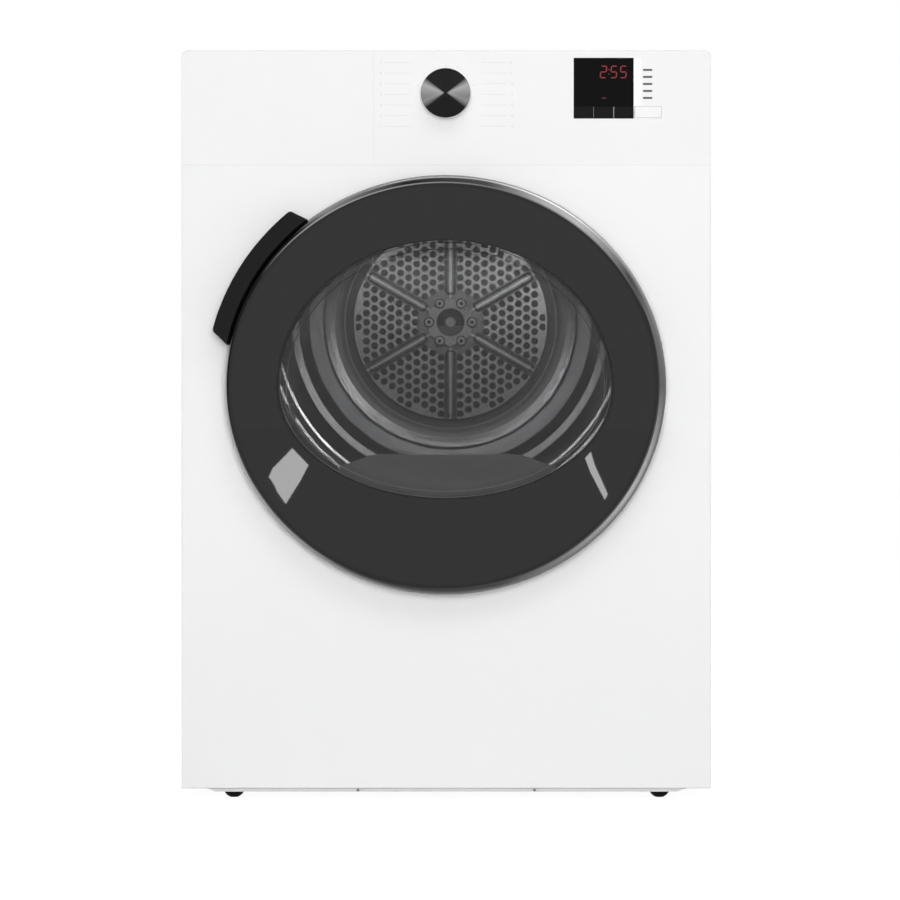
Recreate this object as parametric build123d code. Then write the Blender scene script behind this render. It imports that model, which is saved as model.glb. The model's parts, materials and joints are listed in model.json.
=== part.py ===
# Vented clothes dryer: cabinet, controls, door, drum, drive and air path.
# Units are millimetres. The front faces -Y, Z is up and the floor is z = 0.

import math
import os

from build123d import *

# Cabinet
WIDTH = 597.0
HEIGHT = 846.0
HALF = WIDTH / 2
Y_FRONT = -244.0
Y_REAR = 256.0
SHEET = 1.0
INSIDE = HALF - SHEET
FRONT_LOW = 13.2
FRONT_TOP = 716.4
FRONT_RETURN = 15.5
FASCIA_LOW = 716.43
FASCIA_TOP = 845.5
FASCIA_DEPTH = 27.0
FASCIA_WALL = 2.5
SEAM_X = -81.6
SEAM_GAP = 0.03
TOP_LOW = 827.0

# Controls on the fascia
KNOB_X = -0.5
KNOB_Z = 795.8
KNOB_R = 28.0
DISPLAY_X0 = 143.6
DISPLAY_X1 = 211.3
DISPLAY_Z0 = 782.9
DISPLAY_Z1 = 837.1
BUTTON_Z0 = 769.1
BUTTON_Z1 = 782.4
BUTTON_X0 = 144.2
BUTTON_WIDE = 21.3
BUTTON_PITCH = 22.65
START_X0 = 212.0
START_X1 = 242.8
PLAY = 0.25
LIGHT_X0 = 221.8
LIGHT_X1 = 232.2
LIGHT_TALL = 2.4
LIGHT_LEVELS = (823.4, 815.5, 807.6, 799.7, 791.8)

# Door
RING_CENTRE = (-0.9, 467.8)
RING_A = 247.7
RING_B = 235.2
GLASS_CENTRE = (-3.1, 467.0)
GLASS_A = 240.9
GLASS_B = 226.9
DOOR_FRONT = Y_FRONT - 40.0
RING_FRONT = Y_FRONT - 34.0
RING_BACK = Y_FRONT - 8.0
LINER_BACK = Y_FRONT - 2.0
GLASS_THICK = 4.0
DOME_SAG = 6.0
DOME_R = (GLASS_A**2 + DOME_SAG**2) / (2 * DOME_SAG)
HANDLE_REACH = 20.5
HINGE_X = 236.0
HINGE_Y = Y_FRONT - 20.0
HINGE_Z = 468.0
PIN_R = 3.0

# Window and throat share one oval, flatter below than above
OVAL_X = -1.0
OVAL_Z = 465.0
OVAL_A = 187.0
OVAL_UP = 166.0
OVAL_DOWN = 124.0

# Drum
AXIS_Z = 552.0
DRUM_R = 262.0
NECK_R = 242.0
DRUM_WALL = 1.0
PLATE_Y0 = Y_FRONT + 81.0
PLATE_Y1 = Y_FRONT + 84.0
NECK_Y = Y_FRONT + 90.0
BACK_Y = 217.0
GRILLE_R = 119.0
HOLE_R = 4.3
HOLE_PITCH = 11.5
SPOKE_WIDE = 14.0
ROLLER_R = 24.0
ROLLER_ANGLE = 35.0

# Drive and air path
MOTOR_X = 95.0
MOTOR_Z = 150.0
MOTOR_R = 60.0
SHAFT_R = 6.0
PULLEY_R = 5.0
BELT_Y0 = 92.0
BELT_Y1 = 100.0
BELT_THICK = 1.6
BELT_GAP = 0.3
IDLER_R = 22.0
RUN = 0.06
VENT_X = -205.0
VENT_Z = 98.0
VENT_R = 50.0

FOOT_X = 242.0
FOOT_YS = (Y_FRONT + 50.0, Y_REAR - 50.0)
BASE_LOW = 9.5
BASE_FLOOR = 12.5
BASE_TOP = 64.0


def block(x0, x1, y0, y1, z0, z1):
    centre = Pos((x0 + x1) / 2, (y0 + y1) / 2, (z0 + z1) / 2)
    return centre * Box(x1 - x0, y1 - y0, z1 - z0)


def prism(outline, y0, y1):
    """A front-view outline carried from depth y0 back to depth y1."""
    return extrude(Plane.XZ.offset(-y1) * outline, amount=y1 - y0)


def rod(x, z, radius, y0, y1):
    return prism(Pos(x, z) * Circle(radius), y0, y1)


def post(x, y, radius, z0, z1):
    return Pos(x, y, (z0 + z1) / 2) * Cylinder(radius, z1 - z0)


def oval(grow):
    """The window outline, moved outward by grow."""
    wide = OVAL_A + grow
    upper = EllipticalCenterArc((OVAL_X, OVAL_Z), wide, OVAL_UP + grow, 0, arc_size=180)
    lower = EllipticalCenterArc((OVAL_X, OVAL_Z), wide, OVAL_DOWN + grow, 180, arc_size=180)
    return make_face([upper, lower])


def ellipse(centre, a, b):
    return Pos(*centre) * Ellipse(a, b)


def turned(points):
    """Radius and depth points turned about the drum axis."""
    plane = Plane((0, 0, AXIS_Z))
    face = plane * make_face(Polyline(*points, close=True))
    return revolve(face, axis=Axis((0, 0, AXIS_Z), (0, 1, 0)))


def strip(points, thick):
    """A pressed sheet, given by its front side, as a closed outline."""
    back = [(r, y + thick) for r, y in reversed(points)]
    return list(points) + back


def polar(radius, degrees, x=0.0, z=AXIS_Z):
    angle = math.radians(degrees)
    return x + radius * math.cos(angle), z + radius * math.sin(angle)


nodes = {}

# Base tray with foot bosses, motor cradle, fan rib and a plinth edge below the front panel
base_y0 = Y_FRONT + 16
base_y1 = Y_REAR - 3
base_mid = (base_y0 + base_y1) / 2
base_long = base_y1 - base_y0
tray = Pos(0, base_mid, BASE_LOW) * extrude(RectangleRounded(556, base_long, 26), BASE_TOP - BASE_LOW)
tray = fillet(tray.faces().sort_by(Axis.Z)[0].edges(), 9)
hollow = extrude(RectangleRounded(550, base_long - 6, 23), BASE_TOP)
tray -= Pos(0, base_mid, BASE_FLOOR) * hollow
rim = extrude(RectangleRounded(2 * INSIDE, base_long, 4), 4)
rim -= extrude(RectangleRounded(542, base_long - 14, 20), 4)
tray += Pos(0, base_mid, BASE_TOP - 4) * rim
for cradle_y in (-50.0, 50.0):
    cradle = block(MOTOR_X - 46, MOTOR_X + 46, cradle_y - 5, cradle_y + 5, BASE_FLOOR, 122)
    tray += cradle - rod(MOTOR_X, MOTOR_Z, MOTOR_R, cradle_y - 6, cradle_y + 6)
tray += block(MOTOR_X - 60, MOTOR_X, -145, -125, BASE_FLOOR, 50)
for foot_x in (-FOOT_X, FOOT_X):
    for foot_y in FOOT_YS:
        tray += post(foot_x, foot_y, 13, BASE_LOW, 46)
        tray -= post(foot_x, foot_y, 6 + RUN, BASE_LOW - 1, 42)
EDGE_TOP = FRONT_LOW - 0.2
EDGE_Y = Y_FRONT + 2.0
edge = Polyline((-269, EDGE_TOP), (269, EDGE_TOP), (260, BASE_LOW), (-260, BASE_LOW), close=True)
tray += prism(make_face(edge), EDGE_Y, base_y0 + 14)
SCREW_X = 99.5
SCREW_Z = 11.25
HEAD_R = 1.6
SHANK_R = 0.85
for screw_x in (-SCREW_X, SCREW_X):
    tray -= rod(screw_x, SCREW_Z, SHANK_R + RUN, EDGE_Y - 1, EDGE_Y + 8.5)
tray -= rod(VENT_X, VENT_Z, VENT_R, Y_REAR - 14, Y_REAR)
nodes["base"] = tray

# Screws of the cabinet: two in the plinth edge, the rest in the rear cover
cabinet_screws = []
for screw_x in (-SCREW_X, SCREW_X):
    head = rod(screw_x, SCREW_Z, HEAD_R, EDGE_Y - 1, EDGE_Y)
    head = chamfer(head.faces().sort_by(Axis.Y)[0].edges(), 0.3)
    cabinet_screws.append(head + rod(screw_x, SCREW_Z, SHANK_R, EDGE_Y, EDGE_Y + 8))

# Side panels, bent inward at the front, rear and top edges
side_y0 = Y_FRONT + FRONT_RETURN + 0.5
side_z0 = FRONT_LOW
for name, sign in (("side_left", -1), ("side_right", 1)):
    outer = sign * HALF
    inner = sign * INSIDE
    lip = sign * (INSIDE - 17)
    skin = block(min(outer, inner), max(outer, inner), side_y0, Y_REAR - 1, side_z0, TOP_LOW)
    low, high = min(inner, lip), max(inner, lip)
    skin += block(low, high, side_y0, side_y0 + SHEET, BASE_TOP + 2, TOP_LOW)
    skin += block(low, high, Y_REAR - 1 - SHEET, Y_REAR - 1, BASE_TOP + 2, TOP_LOW)
    skin += block(low, high, side_y0 + 8, Y_REAR - 1, TOP_LOW - SHEET, TOP_LOW)
    notch = block(-HALF, HALF, Y_FRONT, Y_FRONT + FASCIA_DEPTH, FASCIA_LOW - 0.4, HEIGHT)
    nodes[name] = skin - notch

# Worktop, resting on the side panels behind the fascia
top_y0 = Y_FRONT + FASCIA_DEPTH
top_mid = (top_y0 + Y_REAR) / 2
top = extrude(RectangleRounded(WIDTH - 1, Y_REAR - top_y0, 5), HEIGHT - TOP_LOW)
top = Pos(0, top_mid, TOP_LOW) * top
nodes["worktop"] = fillet(top.faces().sort_by(Axis.Z)[-1].edges(), 2.5)

# Front panel with bent edges, the loading opening and the latch slot
front_mid = (FRONT_LOW + FRONT_TOP) / 2
front_tall = FRONT_TOP - FRONT_LOW
panel = prism(Pos(0, front_mid) * Rectangle(WIDTH, front_tall), Y_FRONT, Y_FRONT + FRONT_RETURN)
front_edges = panel.faces().sort_by(Axis.Y)[0].edges()
panel = fillet([e for e in front_edges if e.center().Z < FRONT_TOP - 1], 1.6)
panel -= block(-INSIDE, INSIDE, Y_FRONT + SHEET, Y_FRONT + 30, FRONT_LOW + SHEET, FRONT_TOP - SHEET)
panel -= prism(oval(16), Y_FRONT - 1, Y_FRONT + 5)
panel -= block(-230, -214, Y_FRONT - 1, Y_FRONT + 3, 455, 479)
nodes["front_panel"] = panel

# Rear panel with air holes and holes for what passes through it
rear = block(-INSIDE, INSIDE, Y_REAR - SHEET, Y_REAR, 66, TOP_LOW)
rear -= rod(0, AXIS_Z, 26, Y_REAR - 5, Y_REAR + 1)
for step in range(8):
    rear -= rod(*polar(86, 22.5 + 45 * step), 20, Y_REAR - 5, Y_REAR + 1)
rear -= rod(VENT_X, VENT_Z, VENT_R, Y_REAR - 5, Y_REAR + 1)
GLAND_X = 235.0
GLAND_Z = 768.0
rear -= rod(GLAND_X, GLAND_Z, 9, Y_REAR - 5, Y_REAR + 1)

# Duct cover on the rear panel, with intake slots low down
COVER_HALF = 130.0
COVER_LOW = 176.0
COVER_TOP = 690.0
COVER_BACK = 281.0
cover_mid = (COVER_LOW + COVER_TOP) / 2
cover_tall = COVER_TOP - COVER_LOW
cover_outline = Pos(0, cover_mid) * RectangleRounded(2 * COVER_HALF, cover_tall, 40)
cover_inner = Pos(0, cover_mid) * RectangleRounded(2 * COVER_HALF - 2, cover_tall - 2, 39)
cover = prism(cover_outline, Y_REAR, COVER_BACK)
cover = fillet(cover.faces().sort_by(Axis.Y)[-1].edges(), 8)
cover -= fillet(prism(cover_inner, Y_REAR, COVER_BACK - 1).faces().sort_by(Axis.Y)[-1].edges(), 7).solids()[0]
flange = Pos(0, cover_mid) * RectangleRounded(2 * COVER_HALF + 24, cover_tall + 24, 50)
cover += prism(flange - cover_inner, Y_REAR, Y_REAR + SHEET)
for slot in range(7):
    slot_z = 200 + 12 * slot
    cover -= prism(Pos(0, slot_z) * SlotOverall(150, 5), COVER_BACK - 4, COVER_BACK + 1)
screw_spots = []
for screw_z in (COVER_LOW + 60, cover_mid, COVER_TOP - 60):
    screw_spots.append((-COVER_HALF - 6, screw_z))
    screw_spots.append((COVER_HALF + 6, screw_z))
for spot_x, spot_z in screw_spots:
    cover -= rod(spot_x, spot_z, 2.1, Y_REAR - 1, Y_REAR + 2)
    rear -= rod(spot_x, spot_z, 2.1, Y_REAR - 2, Y_REAR + 1)
    screw = rod(spot_x, spot_z, 2, Y_REAR - 3, Y_REAR + SHEET)
    head = rod(spot_x, spot_z, 4.5, Y_REAR + SHEET, Y_REAR + SHEET + 2.6)
    head = chamfer(head.faces().sort_by(Axis.Y)[-1].edges(), 0.7)
    head -= block(spot_x - 3, spot_x + 3, Y_REAR + 2.6, Y_REAR + 5, spot_z - 0.5, spot_z + 0.5)
    head -= block(spot_x - 0.5, spot_x + 0.5, Y_REAR + 2.6, Y_REAR + 5, spot_z - 3, spot_z + 3)
    cabinet_screws.append(screw + head)
nodes["rear_panel"] = rear
nodes["rear_cover"] = cover
nodes["cabinet_screws"] = Compound(children=cabinet_screws)

# Mains cable gland, a flanged bushing
gland = rod(GLAND_X, GLAND_Z, 9, Y_REAR - 8, Y_REAR)
gland += rod(GLAND_X, GLAND_Z, 14, Y_REAR, Y_REAR + 4)
gland += rod(GLAND_X, GLAND_Z, 9, Y_REAR + 4, Y_REAR + 14)
nodes["cable_gland"] = gland - rod(GLAND_X, GLAND_Z, 4.2, Y_REAR - 9, Y_REAR + 15)

# Fascia halves: a hollow moulding with a seam left of the knob
corner = 7.0


def fascia_half(x0, x1):
    """A moulding with one rounded upper corner at the outer end."""
    middle = (FASCIA_LOW + FASCIA_TOP) / 2
    tall = FASCIA_TOP - FASCIA_LOW
    solid = block(x0, x1, Y_FRONT, Y_FRONT + FASCIA_DEPTH, FASCIA_LOW, FASCIA_TOP)
    outer_x = x0 if abs(x0) > abs(x1) else x1
    upright = solid.edges().filter_by(Axis.Y)
    upper = [e for e in upright if abs(e.center().X - outer_x) < 0.1 and e.center().Z > middle]
    solid = fillet(upper, corner)
    seam_x = x1 if outer_x == x0 else x0
    front_edges = solid.faces().sort_by(Axis.Y)[0].edges()
    outer_edges = [e for e in front_edges if e.center().Z > FASCIA_LOW + 1 and abs(e.center().X - seam_x) > 1]
    solid = fillet(outer_edges, 0.8)
    wall = FASCIA_WALL
    hollow = block(x0 + wall, x1 - wall, Y_FRONT + wall, Y_FRONT + 60, FASCIA_LOW + wall, FASCIA_TOP - wall)
    upright = hollow.edges().filter_by(Axis.Y)
    near = [e for e in upright if abs(e.center().X - outer_x) < 4 and e.center().Z > middle]
    return solid - fillet(near, corner - wall)


fascia = fascia_half(SEAM_X + SEAM_GAP / 2, HALF)
fascia -= rod(KNOB_X, KNOB_Z, 6.5, Y_FRONT - 1, Y_FRONT + 5)
FRAME_Z0 = BUTTON_Z0 - 0.6
fascia -= block(DISPLAY_X0, DISPLAY_X1, Y_FRONT - 1, Y_FRONT + 5, FRAME_Z0, DISPLAY_Z1)
button_lefts = [BUTTON_X0 + BUTTON_PITCH * i for i in range(3)]
fascia -= block(START_X0, START_X1, Y_FRONT - 1, Y_FRONT + 5, BUTTON_Z0, BUTTON_Z1)
for level in LIGHT_LEVELS:
    half = LIGHT_TALL / 2
    fascia -= block(LIGHT_X0, LIGHT_X1, Y_FRONT - 1, Y_FRONT + 5, level - half, level + half)
BOARD_Y = Y_FRONT + 14.0
board_posts = ((-30, 770), (-30, 832), (262, 770), (262, 832))
for boss_x, boss_z in board_posts:
    fascia += rod(boss_x, boss_z, 4, Y_FRONT + FASCIA_WALL, BOARD_Y)
nodes["control_fascia"] = fascia
nodes["fascia_insert"] = fascia_half(-HALF, SEAM_X - SEAM_GAP / 2)

# Display window with a frame round three buttons and a lip behind the fascia wall
fit = 0.12
lip_y0 = Y_FRONT + FASCIA_WALL
window = block(DISPLAY_X0 + fit, DISPLAY_X1 - fit, Y_FRONT - 0.3, lip_y0, FRAME_Z0 + fit, DISPLAY_Z1 - fit)
window = fillet(window.faces().sort_by(Axis.Y)[0].edges(), 0.25)
for left in button_lefts:
    window -= block(left, left + BUTTON_WIDE, Y_FRONT - 1, Y_FRONT + 5, BUTTON_Z0, BUTTON_Z1)
window += block(DISPLAY_X0 - 3, DISPLAY_X1 + 3, lip_y0, lip_y0 + 1.5, DISPLAY_Z0 + fit, DISPLAY_Z1 + 3)
nodes["display_window"] = window

# Light guide: five lenses on one plate
guide = block(LIGHT_X0 - 2, LIGHT_X1 + 2, lip_y0, lip_y0 + 2, LIGHT_LEVELS[-1] - 4, LIGHT_LEVELS[0] + 4)
for level in LIGHT_LEVELS:
    half = LIGHT_TALL / 2 - fit
    guide += block(LIGHT_X0 + fit, LIGHT_X1 - fit, Y_FRONT - 0.1, lip_y0, level - half, level + half)
nodes["light_guide"] = guide

# Control board with encoder, switches and digit module
board = block(-40, 275, BOARD_Y, BOARD_Y + 1.6, 760, 842)
board += block(KNOB_X - 7, KNOB_X + 7, BOARD_Y - 6, BOARD_Y, KNOB_Z - 7, KNOB_Z + 7)
board += rod(KNOB_X, KNOB_Z, 3, Y_FRONT - 5, BOARD_Y - 6)
button_mid = (BUTTON_Z0 + BUTTON_Z1) / 2
press_spots = [left + BUTTON_WIDE / 2 for left in button_lefts]
press_spots.append((START_X0 + START_X1) / 2)
for spot_x in press_spots:
    board += block(spot_x - 3, spot_x + 3, BOARD_Y - 3, BOARD_Y, button_mid - 3, button_mid + 3)
board += block(166, 208, Y_FRONT + 4.2, BOARD_Y, 812, 834)
board += block(20, 60, BOARD_Y + 1.6, BOARD_Y + 9, 770, 800)
nodes["control_board"] = board

# Program knob: body with stem on the encoder shaft, and a spun cap
knob = rod(KNOB_X, KNOB_Z, KNOB_R, Y_FRONT - 20, Y_FRONT - 1)
knob = fillet(knob.faces().sort_by(Axis.Y)[0].edges(), 0.3)
knob += rod(KNOB_X, KNOB_Z, 6, Y_FRONT - 1, Y_FRONT + 6)
knob -= rod(KNOB_X, KNOB_Z, 3 + RUN, Y_FRONT - 8, Y_FRONT + 7)
nodes["knob_body"] = knob
cap = rod(KNOB_X, KNOB_Z, KNOB_R - 0.3, Y_FRONT - 22, Y_FRONT - 20)
nodes["knob_cap"] = chamfer(cap.faces().sort_by(Axis.Y)[0].edges(), 0.6)


def button(x0, x1):
    """A push button with a lip that keeps it behind the fascia wall."""
    z0 = BUTTON_Z0 + PLAY
    z1 = BUTTON_Z1 - PLAY
    body = block(x0 + PLAY, x1 - PLAY, Y_FRONT - 1.0, lip_y0 + 0.2, z0, z1)
    body = fillet(body.faces().sort_by(Axis.Y)[0].edges(), 0.5)
    body += block(x0 - 0.2, x1 + 0.2, lip_y0 + 0.2, lip_y0 + 1.4, z0 - 1, z1 - 0.2)
    middle = (x0 + x1) / 2
    return body + rod(middle, button_mid, 2, lip_y0 + 1.4, BOARD_Y - 4.6)


for name, left in zip(("button_left", "button_middle", "button_right"), button_lefts):
    nodes[name] = button(left, left + BUTTON_WIDE)
nodes["start_button"] = button(START_X0 + 0.4, START_X1)

# Door ring, open at the back round the hinge
ring_outline = ellipse(RING_CENTRE, RING_A, RING_B) - ellipse(GLASS_CENTRE, GLASS_A, GLASS_B)
ring = prism(ring_outline, RING_FRONT, RING_BACK)
front_edges = ring.faces().sort_by(Axis.Y)[0].edges().sort_by(SortBy.LENGTH)
ring = fillet(front_edges[-1], 3.2)
ring -= block(212, 260, Y_FRONT - 29, Y_FRONT, HINGE_Z - 43, HINGE_Z + 43)
nodes["door_ring"] = ring

# Smoked cover, gently domed
dome_y = DOOR_FRONT + DOME_R
dome_at = Pos(GLASS_CENTRE[0], dome_y, GLASS_CENTRE[1])
cover_disc = prism(ellipse(GLASS_CENTRE, GLASS_A - 0.2, GLASS_B - 0.2), DOOR_FRONT - 1, Y_FRONT - 20)
glass = cover_disc & (dome_at * Sphere(DOME_R))
nodes["door_glass"] = glass - dome_at * Sphere(DOME_R - GLASS_THICK)

# Liner: a channel behind the cover, stepped in at the back
step_a = GLASS_A - 12
step_b = GLASS_B - 12
liner = prism(ellipse(GLASS_CENTRE, GLASS_A, GLASS_B), DOOR_FRONT, RING_BACK)
liner += prism(ellipse(GLASS_CENTRE, step_a, step_b), RING_BACK, LINER_BACK)
trough = prism(ellipse(GLASS_CENTRE, GLASS_A - 3, GLASS_B - 3) - oval(3), DOOR_FRONT - 1, RING_BACK - 3)
trough += prism(ellipse(GLASS_CENTRE, step_a - 3, step_b - 3) - oval(3), RING_BACK - 3.5, LINER_BACK - 3)
liner -= trough
liner -= prism(oval(0), DOOR_FRONT - 1, Y_FRONT)
liner = liner & (dome_at * Sphere(DOME_R - GLASS_THICK))
liner -= block(212, 260, Y_FRONT - 27.5, Y_FRONT, HINGE_Z - 43, HINGE_Z + 43)
nodes["door_liner"] = liner

# Inner glass bowl with a flange on the back of the liner
bowl_end = Y_FRONT + 44.0
bowl_low = Plane.XZ.offset(-LINER_BACK)
bowl_high = Plane.XZ.offset(-bowl_end)
bowl = loft([bowl_low * oval(0), bowl_high * oval(-14)])
bowl += prism(oval(9), LINER_BACK, LINER_BACK + 4)
bowl = fillet(bowl.faces().sort_by(Axis.Y)[-1].edges(), 9)
inner_high = Plane.XZ.offset(-(bowl_end - 4))
bowl -= loft([bowl_low * oval(-4), inner_high * oval(-17.5)])
nodes["door_bowl"] = bowl

# Door seal, a rubber lip round the opening
seal = prism(oval(26) - oval(17), LINER_BACK, Y_FRONT - 0.3)
nodes["door_seal"] = seal

# Handle: a hooked band outside the ring on the upper left, cut off aslant at both ends
HANDLE_FRONT = Y_FRONT - 39.0
HANDLE_BACK = Y_FRONT - 14.0
end_lines = [(-223.3, 686.2), (-132.0, 641.7), (-228.4, 496.8), (-296.4, 561.4)]
reach = ellipse(RING_CENTRE, RING_A + HANDLE_REACH, RING_B + HANDLE_REACH)
band = (reach - ellipse(RING_CENTRE, RING_A, RING_B)) & make_face(Polyline(*end_lines, close=True))
outer_corners = band.vertices().sort_by_distance((*RING_CENTRE, 0))[-2:]
band = fillet(outer_corners, 4.0)
handle = prism(band, HANDLE_FRONT, HANDLE_BACK)
handle = fillet(handle.faces().sort_by(Axis.Y)[0].edges(), 2.0)
handle -= prism(ellipse(RING_CENTRE, RING_A + 1.5, RING_B + 1.5), HANDLE_FRONT - 1, HANDLE_BACK - 8)
grip_sector = [RING_CENTRE]
for angle in (137.0, 150.0, 163.0):
    grip_sector.append(polar(400, angle, *RING_CENTRE))
grip_wedge = make_face(Polyline(*grip_sector, close=True))
grip = ellipse(RING_CENTRE, RING_A + 15, RING_B + 15) - ellipse(RING_CENTRE, RING_A + 3, RING_B + 3)
handle -= prism(grip & grip_wedge, Y_FRONT - 30, Y_FRONT)
nodes["door_handle"] = handle

# Hinge: bracket with two knuckles on the panel, leaf with pin on the door
KNUCKLE_R = 6.0
knuckle_spans = ((HINGE_Z - 37, HINGE_Z - 14.5), (HINGE_Z + 14.5, HINGE_Z + 37))
bracket = block(213, 233, Y_FRONT - 1.6, Y_FRONT, HINGE_Z - 48, HINGE_Z + 48)
arm_points = [
    (217, Y_FRONT),
    (227, Y_FRONT),
    (HINGE_X + 3.5, HINGE_Y + 4.5),
    (HINGE_X - 4.5, HINGE_Y - 3.5),
]
for z0, z1 in knuckle_spans:
    arm = Pos(0, 0, z0) * extrude(make_face(Polyline(*arm_points, close=True)), z1 - z0)
    bracket += arm & block(200, 260, HINGE_Y - 20, Y_FRONT, z0, z1)
    bracket += post(HINGE_X, HINGE_Y, KNUCKLE_R, z0, z1)
    bracket -= post(HINGE_X, HINGE_Y, PIN_R + RUN, z0 - 1, z1 + 1)
nodes["hinge_bracket"] = bracket
leaf_y = LINER_BACK - 3
leaf = block(192, 212, leaf_y - 3, leaf_y, HINGE_Z - 40, HINGE_Z + 40)
leaf_arm = [
    (206, leaf_y),
    (206, leaf_y - 8),
    (HINGE_X - 2, HINGE_Y - KNUCKLE_R + 0.5),
    (HINGE_X + 2, HINGE_Y + KNUCKLE_R - 0.5),
    (214, leaf_y),
]
leaf += Pos(0, 0, HINGE_Z - 14) * extrude(make_face(Polyline(*leaf_arm, close=True)), 28)
leaf += post(HINGE_X, HINGE_Y, KNUCKLE_R, HINGE_Z - 14, HINGE_Z + 14)
leaf += post(HINGE_X, HINGE_Y, PIN_R, HINGE_Z - 38, HINGE_Z + 38)
nodes["hinge_leaf"] = leaf

# Latch hook on the door and its catch behind the front panel
hook = block(-226, -218, LINER_BACK, Y_FRONT + 15, 460, 474)
hook += block(-228.5, -226, Y_FRONT + 8, Y_FRONT + 15, 462, 472)
nodes["latch_hook"] = fillet(hook.faces().sort_by(Axis.Y)[-1].edges(), 1.0)
catch = block(-238, -207, Y_FRONT + SHEET, Y_FRONT + 24, 444, 490)
catch = fillet(catch.edges().filter_by(Axis.Y), 3)
nodes["latch_catch"] = catch - block(-233, -212, Y_FRONT, Y_FRONT + 20, 453, 481)

# Lint duct: a saddle in the throat with the filter's shaft, leading down to the fan
DUCT_Y0 = Y_FRONT + 48.0
DUCT_WALL = 2.5
DUCT_HALF = 126.0
SADDLE_Z = 389.0
NECK_HALF = 81.0
saddle = [
    (-DUCT_HALF, 150),
    (-DUCT_HALF, SADDLE_Z - 14),
    (-NECK_HALF - 5, SADDLE_Z),
    (NECK_HALF + 5, SADDLE_Z),
    (DUCT_HALF, SADDLE_Z - 14),
    (DUCT_HALF, 150),
]
saddle_face = make_face(Polyline(*saddle, close=True))
shoulders = [v for v in saddle_face.vertices() if v.Y > 200]
duct_body = prism(fillet(shoulders, 10), DUCT_Y0, PLATE_Y0)
duct_body += block(20, 170, DUCT_Y0, PLATE_Y0, 84, 222)
duct_hollow = block(-120, 120, DUCT_Y0 + DUCT_WALL, PLATE_Y0 - DUCT_WALL, 153, 362)
duct_hollow += block(-NECK_HALF, NECK_HALF, DUCT_Y0 + DUCT_WALL, PLATE_Y0 - DUCT_WALL, 360, 400)
duct_hollow += block(23, 167, DUCT_Y0 + DUCT_WALL, PLATE_Y0 - DUCT_WALL, 87, 219)
duct_hollow += rod(MOTOR_X, MOTOR_Z, 52, PLATE_Y0 - 5, PLATE_Y0 + 1)
slot_xs = [-60 + 20 * slot for slot in range(7)]
for slot_x in slot_xs:
    duct_hollow += prism(Pos(slot_x, 362) * SlotOverall(26, 10, rotation=90), PLATE_Y0 - 5, PLATE_Y1 + 1)
lint_duct = duct_body - duct_hollow
for ledge_x in (1.9 - NECK_HALF, NECK_HALF - 1.9):
    lint_duct += block(ledge_x - 1.9, ledge_x + 1.9, DUCT_Y0 + 2, PLATE_Y0 - 2, 378, 383.9)
nodes["lint_duct"] = lint_duct

# Front bulkhead: plate with throat and roller axles
bulkhead = block(-INSIDE, INSIDE, PLATE_Y0, PLATE_Y1, 252, 822)
bulkhead -= prism(oval(13), PLATE_Y0 - 2, PLATE_Y1 + 2)
throat = prism(oval(15.5), Y_FRONT, PLATE_Y0) - prism(oval(13), Y_FRONT - 1, PLATE_Y0)
bulkhead += throat - duct_body
roller_spots = [polar(NECK_R + BELT_GAP + ROLLER_R, 270 + side * ROLLER_ANGLE) for side in (-1, 1)]
for spot_x, spot_z in roller_spots:
    bulkhead += rod(spot_x, spot_z, 5, PLATE_Y1, Y_FRONT + 108)
nodes["front_bulkhead"] = bulkhead

# Moisture strips on the throat floor, in front of the saddle
strips = []
for strip_x in (-40.0, 40.0):
    bar = block(strip_x - 26, strip_x + 26, DUCT_Y0 - 18, DUCT_Y0 - 8, 320, 345)
    strips.append((bar & prism(oval(13) - oval(11.4), Y_FRONT, PLATE_Y0)).solids()[0])
nodes["moisture_strips"] = Compound(children=strips)

# Carriers of the felt: a ring inside the drum neck and a ring round the rear air holes
neck_ring = turned([(234, PLATE_Y1), (237, PLATE_Y1), (237, Y_FRONT + 112), (234, Y_FRONT + 112)])
air_ring = turned([(237, 206.2), (239, 206.2), (239, Y_REAR - SHEET), (237, Y_REAR - SHEET)])
nodes["felt_carriers"] = Compound(children=[neck_ring, air_ring])

# Felt seals
felt_y0 = Y_FRONT + 92
neck_felt = turned([(237, felt_y0), (240.7, felt_y0), (240.7, felt_y0 + 18), (237, felt_y0 + 18)])
air_felt = turned([(234, 199.2), (242, 199.2), (242, 206.2), (234, 206.2)])
nodes["felt_seals"] = Compound(children=[neck_felt, air_felt])

# Drum rollers under the neck
for name, spot in zip(("roller_left", "roller_right"), roller_spots):
    wheel = rod(*spot, ROLLER_R, Y_FRONT + 91, Y_FRONT + 105)
    wheel = fillet(wheel.edges(), 2)
    nodes[name] = wheel - rod(*spot, 5 + RUN, Y_FRONT + 90, Y_FRONT + 106)

# Drum shell with a neck in front and three rolled beads
inner_r = DRUM_R - DRUM_WALL
shell_front = [(NECK_R, NECK_Y), (NECK_R, NECK_Y + 20), (DRUM_R, NECK_Y + 34)]
shell_inside = [(NECK_R - 1, NECK_Y), (NECK_R - 1, NECK_Y + 20.5), (inner_r, NECK_Y + 34.5)]
for bead_y in (-60.0, 20.0, 140.0):
    for depth, rise in ((-9, 0), (-4, 3.5), (4, 3.5), (9, 0)):
        shell_front.append((DRUM_R - rise, bead_y + depth))
        shell_inside.append((inner_r - rise, bead_y + depth))
SHELL_END = 198.0
shell_front.append((DRUM_R, SHELL_END))
shell_inside.append((inner_r, SHELL_END))
nodes["drum_shell"] = turned(shell_front + shell_inside[::-1])

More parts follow.
